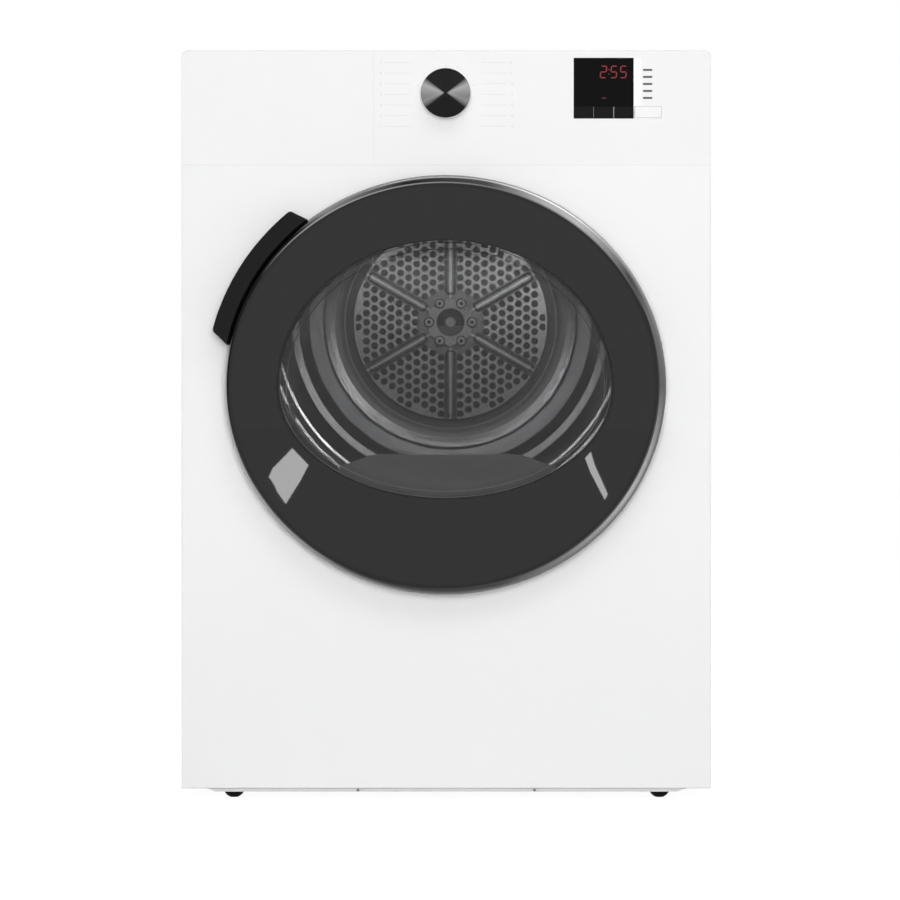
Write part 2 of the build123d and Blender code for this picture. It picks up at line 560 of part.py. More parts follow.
# Drum back, pressed in sloped steps down to a recessed ring
back_profile = [
    (inner_r, 196.0),
    (225, 196.2),
    (222, 197.6),
    (215, 197.8),
    (212, 199.2),
    (194.5, 199.4),
    (186, 202.5),
    (173, 202.7),
    (157, 205.7),
    (153.5, 207.9),
    (148, 209.4),
    (141, 211.6),
    (136.5, 214.2),
    (134, 217.5),
    (131, 223.0),
    (108, 223.0),
]
back = turned(strip(back_profile, 1.4))
nodes["drum_back"] = back

# Grille: a rimmed disc with six raised spokes and rows of holes
plate = Circle(GRILLE_R) - Circle(30)
holes = []
for sector_index in range(6):
    middle = 60 * sector_index
    for row in range(8):
        across = 43.5 + HOLE_PITCH * 0.87 * row
        shift = HOLE_PITCH / 2 * (row % 2)
        for column in range(-8, 9):
            along = HOLE_PITCH * column + shift
            radius = math.hypot(across, along)
            spread = math.degrees(math.atan2(along, across))
            edge = radius * math.sin(math.radians(30 - abs(spread)))
            if radius < GRILLE_R - 5.2 and abs(spread) < 30 and edge > SPOKE_WIDE / 2 + HOLE_R:
                holes.append(polar(radius, middle + spread, 0, 0))
outline = Wire(Edge.make_circle(GRILLE_R))
hub_hole = Wire(Edge.make_circle(24))
hole_wires = [Wire(Edge.make_circle(HOLE_R, Plane((x, z, 0)))) for x, z in holes]
perforated = Face(outline, [hub_hole] + hole_wires)
disc_plane = Plane.XZ.offset(-(BACK_Y + 1.5)) * Pos(0, AXIS_Z)
grille = extrude(disc_plane * perforated, amount=1.5)
spoke_shapes = []
for spoke in range(6):
    turn = 30 + 60 * spoke
    bar = Rot(0, 0, turn) * Pos(75, 0) * RectangleRounded(82, SPOKE_WIDE - 1, 4)
    groove = Rot(0, 0, turn) * Pos(75, 0) * RectangleRounded(68, 3, 1.4)
    rib = prism(Pos(0, AXIS_Z) * bar, BACK_Y - 5, BACK_Y)
    rib = chamfer(rib.faces().sort_by(Axis.Y)[0].edges(), 3)
    spoke_shapes.append(rib - prism(Pos(0, AXIS_Z) * groove, BACK_Y - 6, BACK_Y - 3))
for rib in spoke_shapes:
    grille += rib
grille += turned([(GRILLE_R - 2, BACK_Y), (GRILLE_R, BACK_Y), (GRILLE_R, 223), (GRILLE_R - 2, 223)])
nodes["drum_grille"] = grille
print("grille holes", len(holes))

# Spider: six-armed hub casting seen from inside, with the drum shaft behind it
star = Pos(0, AXIS_Z) * Rot(0, 0, 30) * RegularPolygon(31, 6)
for arm in range(6):
    boss_x, boss_z = polar(26.5, 60 * arm)
    star += Pos(boss_x, boss_z) * Circle(7)
spider = prism(star, BACK_Y - 6, BACK_Y)
spider = fillet(spider.faces().sort_by(Axis.Y)[0].edges(), 1.2)
spider -= rod(0, AXIS_Z, 17.5, BACK_Y - 7, BACK_Y - 3)
centre_boss = rod(0, AXIS_Z, 6.5, BACK_Y - 9, BACK_Y - 3)
spider += fillet(centre_boss.faces().sort_by(Axis.Y)[0].edges(), 2)
SHAFT_END = 264.0
spider += rod(0, AXIS_Z, 23.9, BACK_Y, BACK_Y + 1.5)
spider += rod(0, AXIS_Z, 12, BACK_Y + 1.5, SHAFT_END)
nodes["drum_shaft"] = spider
hub_screws = []
for arm in range(6):
    boss_x, boss_z = polar(26.5, 60 * arm)
    head = rod(boss_x, boss_z, 4.8, BACK_Y - 9, BACK_Y - 6)
    head = fillet(head.faces().sort_by(Axis.Y)[0].edges(), 1.2)
    hub_screws.append(head - rod(boss_x, boss_z, 2.2, BACK_Y - 10, BACK_Y - 7.4))
nodes["hub_screws"] = Compound(children=hub_screws)

# Lifters: three hollow ribs along the drum wall
lifter_outline = make_face(
    Polyline((-34, 0), (-16, -30), (-9, -40), (9, -40), (16, -30), (34, 0), close=True)
)
lifters = []
for index in range(3):
    turn = 90 + 120 * index
    spot_x, spot_z = polar(inner_r - 2, turn)
    placed = Pos(spot_x, spot_z) * Rot(0, 0, turn - 90) * lifter_outline
    rib = prism(placed, -46, 8)
    rib += prism(placed, 8, 128)
    rib = fillet(rib.edges().filter_by(Axis.Y).sort_by_distance((0, 40, AXIS_Z))[0:2], 5)
    foot = Pos(spot_x, spot_z) * Rot(0, 0, turn - 90) * (Pos(0, 3) * Rectangle(68, 6))
    rib += prism(foot, -46, 128)
    lifters.append(rib & turned([(100, -60), (inner_r - 3.5, -60), (inner_r - 3.5, 130), (100, 130)]))
nodes["drum_lifters"] = Compound(children=[s for rib in lifters for s in rib.solids()])

# Bearing housing at the centre of the rear panel
housing = rod(0, AXIS_Z, 26, Y_REAR - 16, Y_REAR)
housing += rod(0, AXIS_Z, 44, Y_REAR, Y_REAR + 4)
housing += rod(0, AXIS_Z, 22, Y_REAR + 4, Y_REAR + 16)
housing = fillet(housing.faces().sort_by(Axis.Y)[-1].edges(), 3)
nodes["bearing_housing"] = housing - rod(0, AXIS_Z, 12 + RUN, Y_REAR - 17, Y_REAR + 10)

# Heater: a terminal bar with a looped tubular element in the rear duct
heater_y = Y_REAR + 12
heater = block(-95, 95, Y_REAR, Y_REAR + 18, 300, 316)
element = Polyline(
    (-80, heater_y, 316),
    (-80, heater_y, 430),
    (-40, heater_y, 430),
    (-40, heater_y, 340),
    (0, heater_y, 340),
    (0, heater_y, 430),
    (40, heater_y, 430),
    (40, heater_y, 340),
    (80, heater_y, 340),
    (80, heater_y, 316),
)
element = FilletPolyline(*element.vertices().sort_by(element), radius=10)
heater += sweep(Plane((-80, heater_y, 316), z_dir=(0, 0, 1)) * Circle(4), path=element)
nodes["heater_element"] = heater

# Motor body with a hollow for the rotor and a bracket for the idler arm
idler_pivot = (-52.5, 253.3)
bracket_mid = ((MOTOR_X + idler_pivot[0]) / 2, (MOTOR_Z + idler_pivot[1]) / 2)
bracket_long = math.hypot(MOTOR_X - idler_pivot[0], MOTOR_Z - idler_pivot[1])
bracket_turn = math.degrees(math.atan2(idler_pivot[1] - MOTOR_Z, idler_pivot[0] - MOTOR_X))
bracket_bar = Pos(*bracket_mid) * SlotCenterToCenter(bracket_long, 27, rotation=bracket_turn)
motor = rod(MOTOR_X, MOTOR_Z, MOTOR_R, -60, 70)
motor = fillet(motor.edges(), 8)
motor += rod(MOTOR_X, MOTOR_Z, 18, -74, -59) + rod(MOTOR_X, MOTOR_Z, 18, 69, 84)
motor += prism(bracket_bar, 62, 70) + rod(*idler_pivot, 13.5, 62, 78)
motor -= rod(*idler_pivot, 5 + RUN, 61, 79)
motor -= rod(MOTOR_X, MOTOR_Z, 41, -50, 60)
motor -= rod(MOTOR_X, MOTOR_Z, SHAFT_R + RUN, -80, 90)
nodes["motor_body"] = motor
shaft = rod(MOTOR_X, MOTOR_Z, SHAFT_R, -150, 88)
shaft += rod(MOTOR_X, MOTOR_Z, 40, -45, 55)
shaft += rod(MOTOR_X, MOTOR_Z, PULLEY_R, 88, 102)
shaft += rod(MOTOR_X, MOTOR_Z, 8, 102, 104)
nodes["motor_shaft"] = shaft

# Fan impeller with blades between a back disc and a front ring
impeller = rod(MOTOR_X, MOTOR_Z, 14, -154, -114) + rod(MOTOR_X, MOTOR_Z, 80, -117, -114)
impeller += rod(MOTOR_X, MOTOR_Z, 80, -156, -154) - rod(MOTOR_X, MOTOR_Z, 56, -157, -153)
for blade in range(20):
    blade_at = Pos(MOTOR_X, MOTOR_Z) * Rot(0, 0, 18 * blade) * Pos(67, 0) * Rot(0, 0, 35)
    impeller += prism(blade_at * Rectangle(24, 1.6), -155, -116)
impeller -= rod(MOTOR_X, MOTOR_Z, SHAFT_R, -150, -110)
nodes["fan_impeller"] = impeller

# Fan housing, open to the duct in front and to the exhaust on the left
OUTLET_X = -20.0
fan_y0 = PLATE_Y0
fan_y1 = -106.0


def scroll(shrink):
    wheel = Pos(MOTOR_X, MOTOR_Z) * Circle(100 - shrink)
    outlet_wide = MOTOR_X - OUTLET_X
    outlet = Pos((MOTOR_X + OUTLET_X) / 2, 94) * Rectangle(outlet_wide, 88 - 2 * shrink)
    return wheel + outlet


fan = prism(scroll(0), fan_y0, fan_y1) - prism(scroll(2), fan_y0 + 2, fan_y1 - 2)
fan -= rod(MOTOR_X, MOTOR_Z, 52, fan_y0 - 1, fan_y0 + 3)
fan -= rod(MOTOR_X, MOTOR_Z, 10, fan_y1 - 3, fan_y1 + 1)
nodes["fan_housing"] = fan

# Exhaust duct, from the fan along the front and back to the collar
duct_x0 = VENT_X - VENT_R
duct_x1 = VENT_X + VENT_R
duct_z0 = VENT_Z - VENT_R
duct_z1 = VENT_Z + VENT_R
duct_y1 = Y_REAR - 12.0
wall = 2.0
exhaust = block(duct_x0, OUTLET_X, fan_y0, fan_y1, duct_z0, duct_z1)
exhaust += block(duct_x0, duct_x1, fan_y0, duct_y1, duct_z0, duct_z1)
exhaust = fillet(exhaust.edges().filter_by(Axis.Z).sort_by(Axis.X)[0:1], 30)
room = block(duct_x0 + wall, OUTLET_X + 1, fan_y0 + wall, fan_y1 - wall, duct_z0 + wall, duct_z1 - wall)
room += block(duct_x0 + wall, duct_x1 - wall, fan_y0 + wall, duct_y1 - wall, duct_z0 + wall, duct_z1 - wall)
room = fillet(room.edges().filter_by(Axis.Z).sort_by(Axis.X)[0:1], 28)
exhaust -= room
exhaust -= rod(VENT_X, VENT_Z, VENT_R - 3, duct_y1 - 5, duct_y1 + 1)
nodes["exhaust_duct"] = exhaust

# Vent collar on the rear panel, a spigot for a hose
collar = rod(VENT_X, VENT_Z, VENT_R, duct_y1, 284)
collar += rod(VENT_X, VENT_Z, VENT_R + 9, Y_REAR, Y_REAR + 3)
nodes["vent_collar"] = collar - rod(VENT_X, VENT_Z, VENT_R - 3, duct_y1 - 1, 285)

# Belt over drum, idler back and motor pulley
idler_spot = (11.2, 204.9)


def tangent(first, second, side_first, side_second):
    """Touch points of a straight strand between two circles (x, z, r)."""
    dx = second[0] - first[0]
    dz = second[1] - first[1]
    span = math.hypot(dx, dz)
    lean = math.acos((side_first * first[2] - side_second * second[2]) / span)
    heading = math.atan2(dz, dx) - lean
    ux, uz = math.cos(heading), math.sin(heading)
    start = (first[0] + side_first * first[2] * ux, first[1] + side_first * first[2] * uz)
    end = (second[0] + side_second * second[2] * ux, second[1] + side_second * second[2] * uz)
    return start, end


def belt_loop(offset):
    """The closed belt path, offset outward from its inner side."""
    drum = (0.0, AXIS_Z, DRUM_R + BELT_GAP + offset)
    pulley = (MOTOR_X, MOTOR_Z, PULLEY_R + BELT_GAP + offset)
    idler = (*idler_spot, IDLER_R + BELT_GAP + BELT_THICK - offset)
    drum_out, idler_in = tangent(drum, idler, 1, -1)
    idler_out, pulley_in = tangent(idler, pulley, -1, 1)
    pulley_out, drum_in = tangent(pulley, drum, 1, 1)
    arcs = [
        Line(drum_out, idler_in),
        ThreePointArc(idler_in, arc_middle(idler, idler_in, idler_out), idler_out),
        Line(idler_out, pulley_in),
        ThreePointArc(pulley_in, arc_middle(pulley, pulley_in, pulley_out), pulley_out),
        Line(pulley_out, drum_in),
        ThreePointArc(drum_in, (0.0, AXIS_Z + drum[2]), drum_out),
    ]
    return make_face(arcs)


def arc_middle(circle, start, end):
    """The point of the circle halfway between two near points on it."""
    mx = (start[0] + end[0]) / 2 - circle[0]
    mz = (start[1] + end[1]) / 2 - circle[1]
    scale = circle[2] / math.hypot(mx, mz)
    return circle[0] + mx * scale, circle[1] + mz * scale


nodes["belt"] = prism(belt_loop(BELT_THICK) - belt_loop(0), BELT_Y0, BELT_Y1)

# Idler arm on the base post, and its pulley
pivot_x, pivot_z = idler_pivot
lever_mid = ((pivot_x + idler_spot[0]) / 2, (pivot_z + idler_spot[1]) / 2)
lever_long = math.hypot(pivot_x - idler_spot[0], pivot_z - idler_spot[1])
lever_turn = math.degrees(math.atan2(idler_spot[1] - pivot_z, idler_spot[0] - pivot_x))
lever = Pos(*lever_mid) * SlotCenterToCenter(lever_long, 20, rotation=lever_turn)
lever_part = prism(lever, 80, 86)
lever_part += rod(*idler_pivot, 5, 60, 80)
lever_part += rod(*idler_spot, 4, 86, 104)
nodes["idler_arm"] = lever_part
wheel = rod(*idler_spot, IDLER_R, 89, 103)
nodes["idler_pulley"] = fillet(wheel.edges(), 1.5) - rod(*idler_spot, 4 + RUN, 88, 104)

# Lint filter: a frame that lifts out of the saddle, with mesh on both sides
LINT_Y0 = DUCT_Y0 + 5.0
LINT_Y1 = PLATE_Y0 - 5.0
frame = block(-76, 76, LINT_Y0, LINT_Y1, 190, 384)
frame -= block(-72, 72, LINT_Y0 + 3, LINT_Y1 - 3, 194, 390)
for window_x in (-48, 0, 48):
    frame -= block(window_x - 21, window_x + 21, LINT_Y0 - 1, LINT_Y1 + 1, 200, 330)
for slot_x in slot_xs:
    frame -= prism(Pos(slot_x, 362) * SlotOverall(26, 10, rotation=90), LINT_Y1 - 4, LINT_Y1 + 1)
lid = block(-80, 80, DUCT_Y0 + 3, PLATE_Y0 - 3, 384, SADDLE_Z + 1)
lid_ends = lid.faces().sort_by(Axis.Z)[-1].edges()
frame += fillet(lid_ends, 2.2)
frame -= block(-40, 40, LINT_Y0 + 6, LINT_Y1 - 6, 380, 400)
nodes["filter_frame"] = frame
meshes = []
for mesh_y in (LINT_Y0 + 3, LINT_Y1 - 3.6):
    meshes.append(block(-72, 72, mesh_y, mesh_y + 0.6, 194, 336))
nodes["filter_mesh"] = Compound(children=meshes)

# Levelling feet: a domed pad with a stud in the base boss
FOOT_DOME_R = 12.34
FOOT_DOME_Z = 11.67
foot_names = (("left", -FOOT_X), ("right", FOOT_X))
for end_name, foot_y in zip(("front", "rear"), FOOT_YS):
    for side_name, foot_x in foot_names:
        pad = Pos(foot_x, foot_y, FOOT_DOME_Z) * Sphere(FOOT_DOME_R)
        pad = pad & post(foot_x, foot_y, 20, 0, 8.8)
        nodes[f"foot_{end_name}_{side_name}"] = pad + post(foot_x, foot_y, 6, 8, 41.8)

os.makedirs("parts", exist_ok=True)
for name, shape in nodes.items():
    export_step(shape, f"parts/{name}.step")
print("nodes", len(nodes))
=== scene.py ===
# %% [markdown]
# # A vented clothes dryer
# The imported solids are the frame: they have the right size and stand in the right place.
# This script gives each of them a finish, adds the small things that a solid model leaves
# out, such as print, glowing digits and formed edges, and sets up a white studio.

# %% Load the frame
import json
import math

import bmesh
import bpy
from mathutils import Matrix, Vector


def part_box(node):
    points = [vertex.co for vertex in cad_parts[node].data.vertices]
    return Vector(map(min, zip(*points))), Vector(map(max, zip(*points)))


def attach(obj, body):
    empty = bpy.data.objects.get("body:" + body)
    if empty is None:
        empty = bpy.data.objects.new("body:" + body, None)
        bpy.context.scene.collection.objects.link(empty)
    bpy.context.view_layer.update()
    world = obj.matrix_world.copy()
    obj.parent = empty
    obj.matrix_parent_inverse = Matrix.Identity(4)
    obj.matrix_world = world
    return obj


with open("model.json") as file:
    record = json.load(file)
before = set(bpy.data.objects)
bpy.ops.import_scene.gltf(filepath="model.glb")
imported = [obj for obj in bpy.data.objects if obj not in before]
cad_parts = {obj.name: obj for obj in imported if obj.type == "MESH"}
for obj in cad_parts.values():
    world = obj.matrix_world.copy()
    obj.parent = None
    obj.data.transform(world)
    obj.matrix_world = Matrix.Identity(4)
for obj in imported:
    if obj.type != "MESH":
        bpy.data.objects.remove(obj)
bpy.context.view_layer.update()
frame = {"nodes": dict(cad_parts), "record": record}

nodes = frame["nodes"]
record = frame["record"]

# %% [markdown]
# ## Numbers as shader nodes
# A finish is a small graph of shader nodes. Graphs are easy to read as sums and products, so
# one class wraps a socket: arithmetic on it adds Math nodes, and any other node comes from
# its `node` method, which sets the node's settings first and then its sockets.

# %% A socket that takes part in arithmetic
class Flow:
    """One shader socket of a node tree."""

    def __init__(self, tree, socket=None):
        self.tree = tree
        self.socket = socket

    def node(self, kind, settings=None, sockets=None, out=0):
        made = self.tree.nodes.new(kind)
        for name, value in (settings or {}).items():
            if name == "stops":
                fill_ramp(made.color_ramp, value)
            else:
                setattr(made, name, value)
        for name, value in (sockets or {}).items():
            if isinstance(value, Flow):
                self.tree.links.new(value.socket, made.inputs[name])
            else:
                made.inputs[name].default_value = value
        return Flow(self.tree, made.outputs[out] if made.outputs else None)

    def math(self, operation, first, second=0.0):
        return self.node("ShaderNodeMath", {"operation": operation}, {0: first, 1: second})

    def __add__(self, other):
        return self.math("ADD", self, other)

    __radd__ = __add__

    def __sub__(self, other):
        return self.math("SUBTRACT", self, other)

    def __rsub__(self, other):
        return self.math("SUBTRACT", other, self)

    def __mul__(self, other):
        return self.math("MULTIPLY", self, other)

    __rmul__ = __mul__

    def __truediv__(self, other):
        return self.math("DIVIDE", self, other)

    def __gt__(self, other):
        return self.math("GREATER_THAN", self, other)

    def __lt__(self, other):
        return self.math("LESS_THAN", self, other)


def fill_ramp(ramp, stops):
    """Stops are pairs of a place from 0 to 1 and a grey level."""
    while len(ramp.elements) < len(stops):
        ramp.elements.new(0.5)
    for element, (position, level) in zip(ramp.elements, stops):
        element.position = position
        element.color = (level, level, level, 1.0)


# %% [markdown]
# ## Parts that every finish shares
# Object coordinates are metres in the dryer's own frame, because every solid sits at the
# origin. So a noise of scale 700 has lumps of about 1.5 mm on any piece, and two pieces with
# one finish run on from each other.

# %% Helpers for finishes
def new_finish(name):
    material = bpy.data.materials.new(name)
    material.use_nodes = True
    material.node_tree.nodes.clear()
    return material, Flow(material.node_tree)


EVEN = (1.0, 1.0, 1.0)
BUMP_DEPTH = 0.0002


def place(flow, stretch=EVEN):
    """Where a point is, in metres, with each axis stretched."""
    spot = flow.node("ShaderNodeTexCoord", out=3)
    return flow.node("ShaderNodeMapping", None, {"Vector": spot, "Scale": stretch})


def axes_of(flow):
    """The three coordinates of a point, each as a number."""
    spot = flow.node("ShaderNodeTexCoord", out=3)
    split = flow.node("ShaderNodeSeparateXYZ", None, {"Vector": spot})
    return [Flow(flow.tree, output) for output in split.socket.node.outputs]


def beside(flow, centre):
    """How far a point is across and up from a centre, seen from the front."""
    x, z = axes_of(flow)[::2]
    return x - centre.x, z - centre.z


def length(across, upright):
    """The straight distance to a point that is so far across and up."""
    return across.math("SQRT", across * across + upright * upright)


def eased(flow, value, start, end):
    """0 at the start and 1 at the end, with a soft rise between them."""
    settings = {"interpolation_type": "SMOOTHSTEP"}
    return flow.node("ShaderNodeMapRange", settings, {"Value": value, 1: start, 2: end})


def noise(flow, scale, detail, stretch=EVEN):
    sockets = {"Vector": place(flow, stretch), "Scale": scale, "Detail": detail}
    return flow.node("ShaderNodeTexNoise", None, sockets)


def tint(flow, factor, dark, light):
    """A colour between two, by a factor from 0 to 1."""
    settings = {"data_type": "RGBA"}
    ends = [end if isinstance(end, Flow) else (*end, 1.0) for end in (dark, light)]
    return flow.node("ShaderNodeMix", settings, {0: factor, 6: ends[0], 7: ends[1]}, out=2)


def bump(flow, height, strength, distance=BUMP_DEPTH):
    sockets = {"Height": height, "Strength": strength, "Distance": distance}
    return flow.node("ShaderNodeBump", None, sockets)


def close(material, flow, **sockets):
    """Ends the graph in the Principled shader; an underscore in a name is a space."""
    named = {name.replace("_", " "): value for name, value in sockets.items()}
    shader = flow.node("ShaderNodeBsdfPrincipled", None, named)
    flow.node("ShaderNodeOutputMaterial", None, {"Surface": shader})
    return material


def shade(colour, factor):
    return tuple(channel * factor for channel in colour)


def grey(level):
    return (level, level, level)


# %% [markdown]
# ## Enamel, plastic and rubber
# White goods are steel with baked enamel, which flows into a faint orange-peel. Mouldings
# have a fine spark-eroded grain and a duller surface. Both could be flat colours, but then a
# close view shows nothing, so each gets its own lumps, a little colour drift and a roughness
# that changes over the surface.

# %% Painted and moulded finishes
def enamel(name, colour):
    material, flow = new_finish(name)
    peel = noise(flow, scale=420.0, detail=1.0)
    drift = noise(flow, scale=3.0, detail=2.0)
    return close(
        material,
        flow,
        Base_Color=tint(flow, drift, shade(colour, 0.985), shade(colour, 1.01)),
        Roughness=0.30 + 0.08 * drift,
        Normal=bump(flow, peel, strength=0.05),
        Coat_Weight=0.25,
        Coat_Roughness=0.12,
    )


def moulded(name, colour, rough, grain=1400.0, depth=0.12, coat=0.0, shine=0.5, vary=0.06):
    material, flow = new_finish(name)
    lumps = noise(flow, grain, detail=2.0)
    drift = noise(flow, scale=14.0, detail=3.0)
    return close(
        material,
        flow,
        Base_Color=tint(flow, drift, shade(colour, 1 - vary), shade(colour, 1 + vary)),
        Roughness=rough - 0.04 + 0.08 * lumps,
        Normal=bump(flow, lumps, depth),
        Specular_IOR_Level=shine,
        Coat_Weight=coat,
        Coat_Roughness=0.05,
    )


def rubbery(name, colour):
    material, flow = new_finish(name)
    dust = noise(flow, scale=90.0, detail=5.0)
    pits = noise(flow, scale=900.0, detail=2.0)
    return close(
        material,
        flow,
        Base_Color=tint(flow, dust, shade(colour, 0.8), shade(colour, 1.5)),
        Roughness=0.62 + 0.2 * dust,
        Normal=bump(flow, pits, strength=0.2, distance=0.0003),
        Specular_IOR_Level=0.08,
    )


# %% [markdown]
# ## Metals
# Sheet steel in a dryer is galvanised: zinc freezes in patches, each a slightly different
# grey. Rolled and turned parts carry fine lines along the way the tool went. A stretched
# noise gives lines, and a Voronoi texture gives the zinc patches. The inner faces of the rear
# panel and its cover get painted shade, dark and not metallic, so the grille's holes look black.

# %% Metal finishes
PATCHES = 60.0
INNER_SHADE = grey(0.2)
INWARD = -0.3


def galvanised(name, colour, rough, shaded_inside=0.0):
    """Zinc-coated sheet; the last argument sets how dark the painted shade is on the faces
    towards the drum, up to 1.
    """
    material, flow = new_finish(name)
    facing = flow.node("ShaderNodeTexCoord", out=1)
    split = flow.node("ShaderNodeSeparateXYZ", None, {"Vector": facing})
    depthwise = Flow(flow.tree, split.socket.node.outputs["Y"])
    # Painted shade: faces towards the drum are made dark and lose their metal.
    unshaded = 1.0 - shaded_inside * (depthwise < INWARD)
    rubbed = [shade(colour, 0.9), shade(colour, 1.06)]
    sockets = {"Vector": place(flow), "Scale": PATCHES}
    cells = flow.node("ShaderNodeTexVoronoi", None, sockets, out=1)
    zinc = flow.node("ShaderNodeSeparateColor", None, {"Color": cells})
    scratches = noise(flow, scale=260.0, detail=4.0, stretch=(1.0, 0.08, 1.0))
    return close(
        material,
        flow,
        Base_Color=tint(flow, unshaded, INNER_SHADE, tint(flow, zinc, *rubbed)),
        Metallic=0.85 * unshaded,
        Roughness=rough - 0.05 + 0.12 * scratches,
        Normal=bump(flow, scratches, strength=0.06),
    )


def worked(name, colour, rough, stretch=EVEN):
    material, flow = new_finish(name)
    lines = noise(flow, scale=500.0, detail=4.0, stretch=stretch)
    return close(
        material,
        flow,
        Base_Color=tint(flow, lines, shade(colour, 0.85), shade(colour, 1.1)),
        Metallic=1.0,
        Roughness=rough - 0.06 + 0.14 * lines,
        Normal=bump(flow, lines, strength=0.08),
    )


# %% [markdown]
# ## The spun knob face
# The cap of the knob is turned on a lathe, so its fine grooves are circles. Grooves throw
# light outwards from the centre, which shows as bright wedges to the left and right and dark
# ones above and below. These wedges are a painted reflection in the colour, set by the angle
# round the knob, and the grooves come from the distance to its centre. The lower half of the
# face is darkened with painted shade.

# %% Spun aluminium
knob_low, knob_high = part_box("knob_cap")
knob_centre = (knob_low + knob_high) / 2
PAINTED_WEDGES = [(0.0, 0.009), (0.78, 0.011), (0.85, 0.19), (0.92, 0.38), (1.0, 0.27)]
KNOB_POINT = 0.0004
HALF_START = -0.006
HALF_END = 0.004
LOWER_SHADE = 0.62
GROOVES = 9000.0


def spun(name):
    material, flow = new_finish(name)
    across, upright = beside(flow, knob_centre)
    reach = length(across, upright)
    aside = flow.math("ABSOLUTE", across) / (reach + KNOB_POINT)
    # Painted reflection: bright and dark wedges by the angle round the knob.
    painted_glint = flow.node("ShaderNodeValToRGB", {"stops": PAINTED_WEDGES}, {"Fac": aside})
    # Painted shade on the lower half of the face.
    lower_shade = LOWER_SHADE + (1 - LOWER_SHADE) * eased(flow, upright, HALF_START, HALF_END)
    grooves = flow.math("SINE", reach * GROOVES)
    return close(
        material,
        flow,
        Base_Color=tint(flow, lower_shade, grey(0.0), painted_glint),
        Metallic=0.75,
        Roughness=0.33 + 0.05 * grooves,
        Normal=bump(flow, grooves, strength=0.12, distance=0.00005),
    )


# %% [markdown]
# ## The drum
# The drum is smooth satin sheet. Its back is pressed in steps; behind the grille and in the deep
# groove round it the sheet is darkened with painted shade, and the slope next to the groove is
# dull. The grille has six ribs. A painted highlight lies along their crests and painted shade on
# either side of them, so the colour follows the distance from the nearest rib: the angle round
# the axis is folded into one sixth, and its sine times the reach is that distance. The grille is
# also darker close to the hub.

# %% Satin drum sheet
grille_low, grille_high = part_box("drum_grille")
axle = (grille_low + grille_high) / 2
GROOVE_SHADE_EDGE = 0.1295
DULL = 0.1425
HIGHLIGHT_CREST = 0.0015
SHADED_FLANK = 0.0085
HUB_DARK_REACH = 0.0415
TWO_TURNS = 12.0


def from_sixth(flow, across, upright, start):
    """The angle to the nearest of six even directions; `start` is in sixths of a turn."""
    sixths = flow.math("ARCTAN2", upright, across) * (3 / math.pi)
    return flow.math("PINGPONG", sixths + (TWO_TURNS + start), 0.5) * (math.pi / 3)


def pressed(name, colour, rough):
    material, flow = new_finish(name)
    reach = length(*beside(flow, axle))
    # Painted shade: the groove and the sheet behind the grille are darkened.
    groove_shade = reach < GROOVE_SHADE_EDGE
    dull = reach < DULL
    drift = noise(flow, scale=9.0, detail=2.0)
    sheet = tint(flow, drift, shade(colour, 0.94), shade(colour, 1.04))
    return close(
        material,
        flow,
        Base_Color=tint(flow, groove_shade, sheet, shade(colour, 0.42)),
        Metallic=0.9 - 0.6 * dull,
        Roughness=rough + 0.02 * drift + 0.3 * dull,
    )


def ribbed(name, colour, rough):
    material, flow = new_finish(name)
    across, upright = beside(flow, axle)
    reach = length(across, upright)
    aside = reach * flow.math("SINE", from_sixth(flow, across, upright, start=0.5))
    satin = noise(flow, scale=700.0, detail=2.0)
    plain = tint(flow, satin, shade(colour, 0.92), shade(colour, 1.06))
    # Painted shade on either side of each rib; the grille is also darker close to the hub.
    flank_shade_and_hub_dark = flow.math("MAXIMUM", aside < SHADED_FLANK, reach < HUB_DARK_REACH)
    shaded_grille = tint(flow, flank_shade_and_hub_dark, plain, shade(colour, 0.5))
    return close(
        material,
        flow,
        # Painted highlight along each rib's crest.
        Base_Color=tint(flow, aside < HIGHLIGHT_CREST, shaded_grille, shade(colour, 1.15)),
        Metallic=0.85,
        Roughness=rough - 0.02 + 0.06 * satin,
        Normal=bump(flow, satin, strength=0.02, distance=0.0001),
    )


# %% [markdown]
# ## The hub of the drum
# The six-armed casting at the middle of the drum is bright on its arms and screw bosses. The
# pocket round its centre is darkened with painted shade, so a ring between two distances from
# the drum's axis is dark, the more so in its upper half, which the sill doesn't light. A ring of
# painted shadow lies round each of the six screw heads, and painted shade fills their sockets.
# The angle round the axis is folded into one sixth again, which gives the distance from the
# nearest screw.

# %% Cast hub
POCKET = 0.0172
BOSS = 0.0066
SCREWS = 0.0265
SHADED_SOCKET = 0.0023
HEAD = 0.0047
SCREW_SHADOW_EDGE = 0.0066
UNLIT = -0.004


def from_screw(flow):
    """How far a point is from the nearest of the six screws of the hub."""
    across, upright = beside(flow, axle)
    reach = length(across, upright)
    turn = from_sixth(flow, across, upright, start=0.0)
    outward = reach * flow.math("COSINE", turn) - SCREWS
    return length(outward, reach * flow.math("SINE", turn))


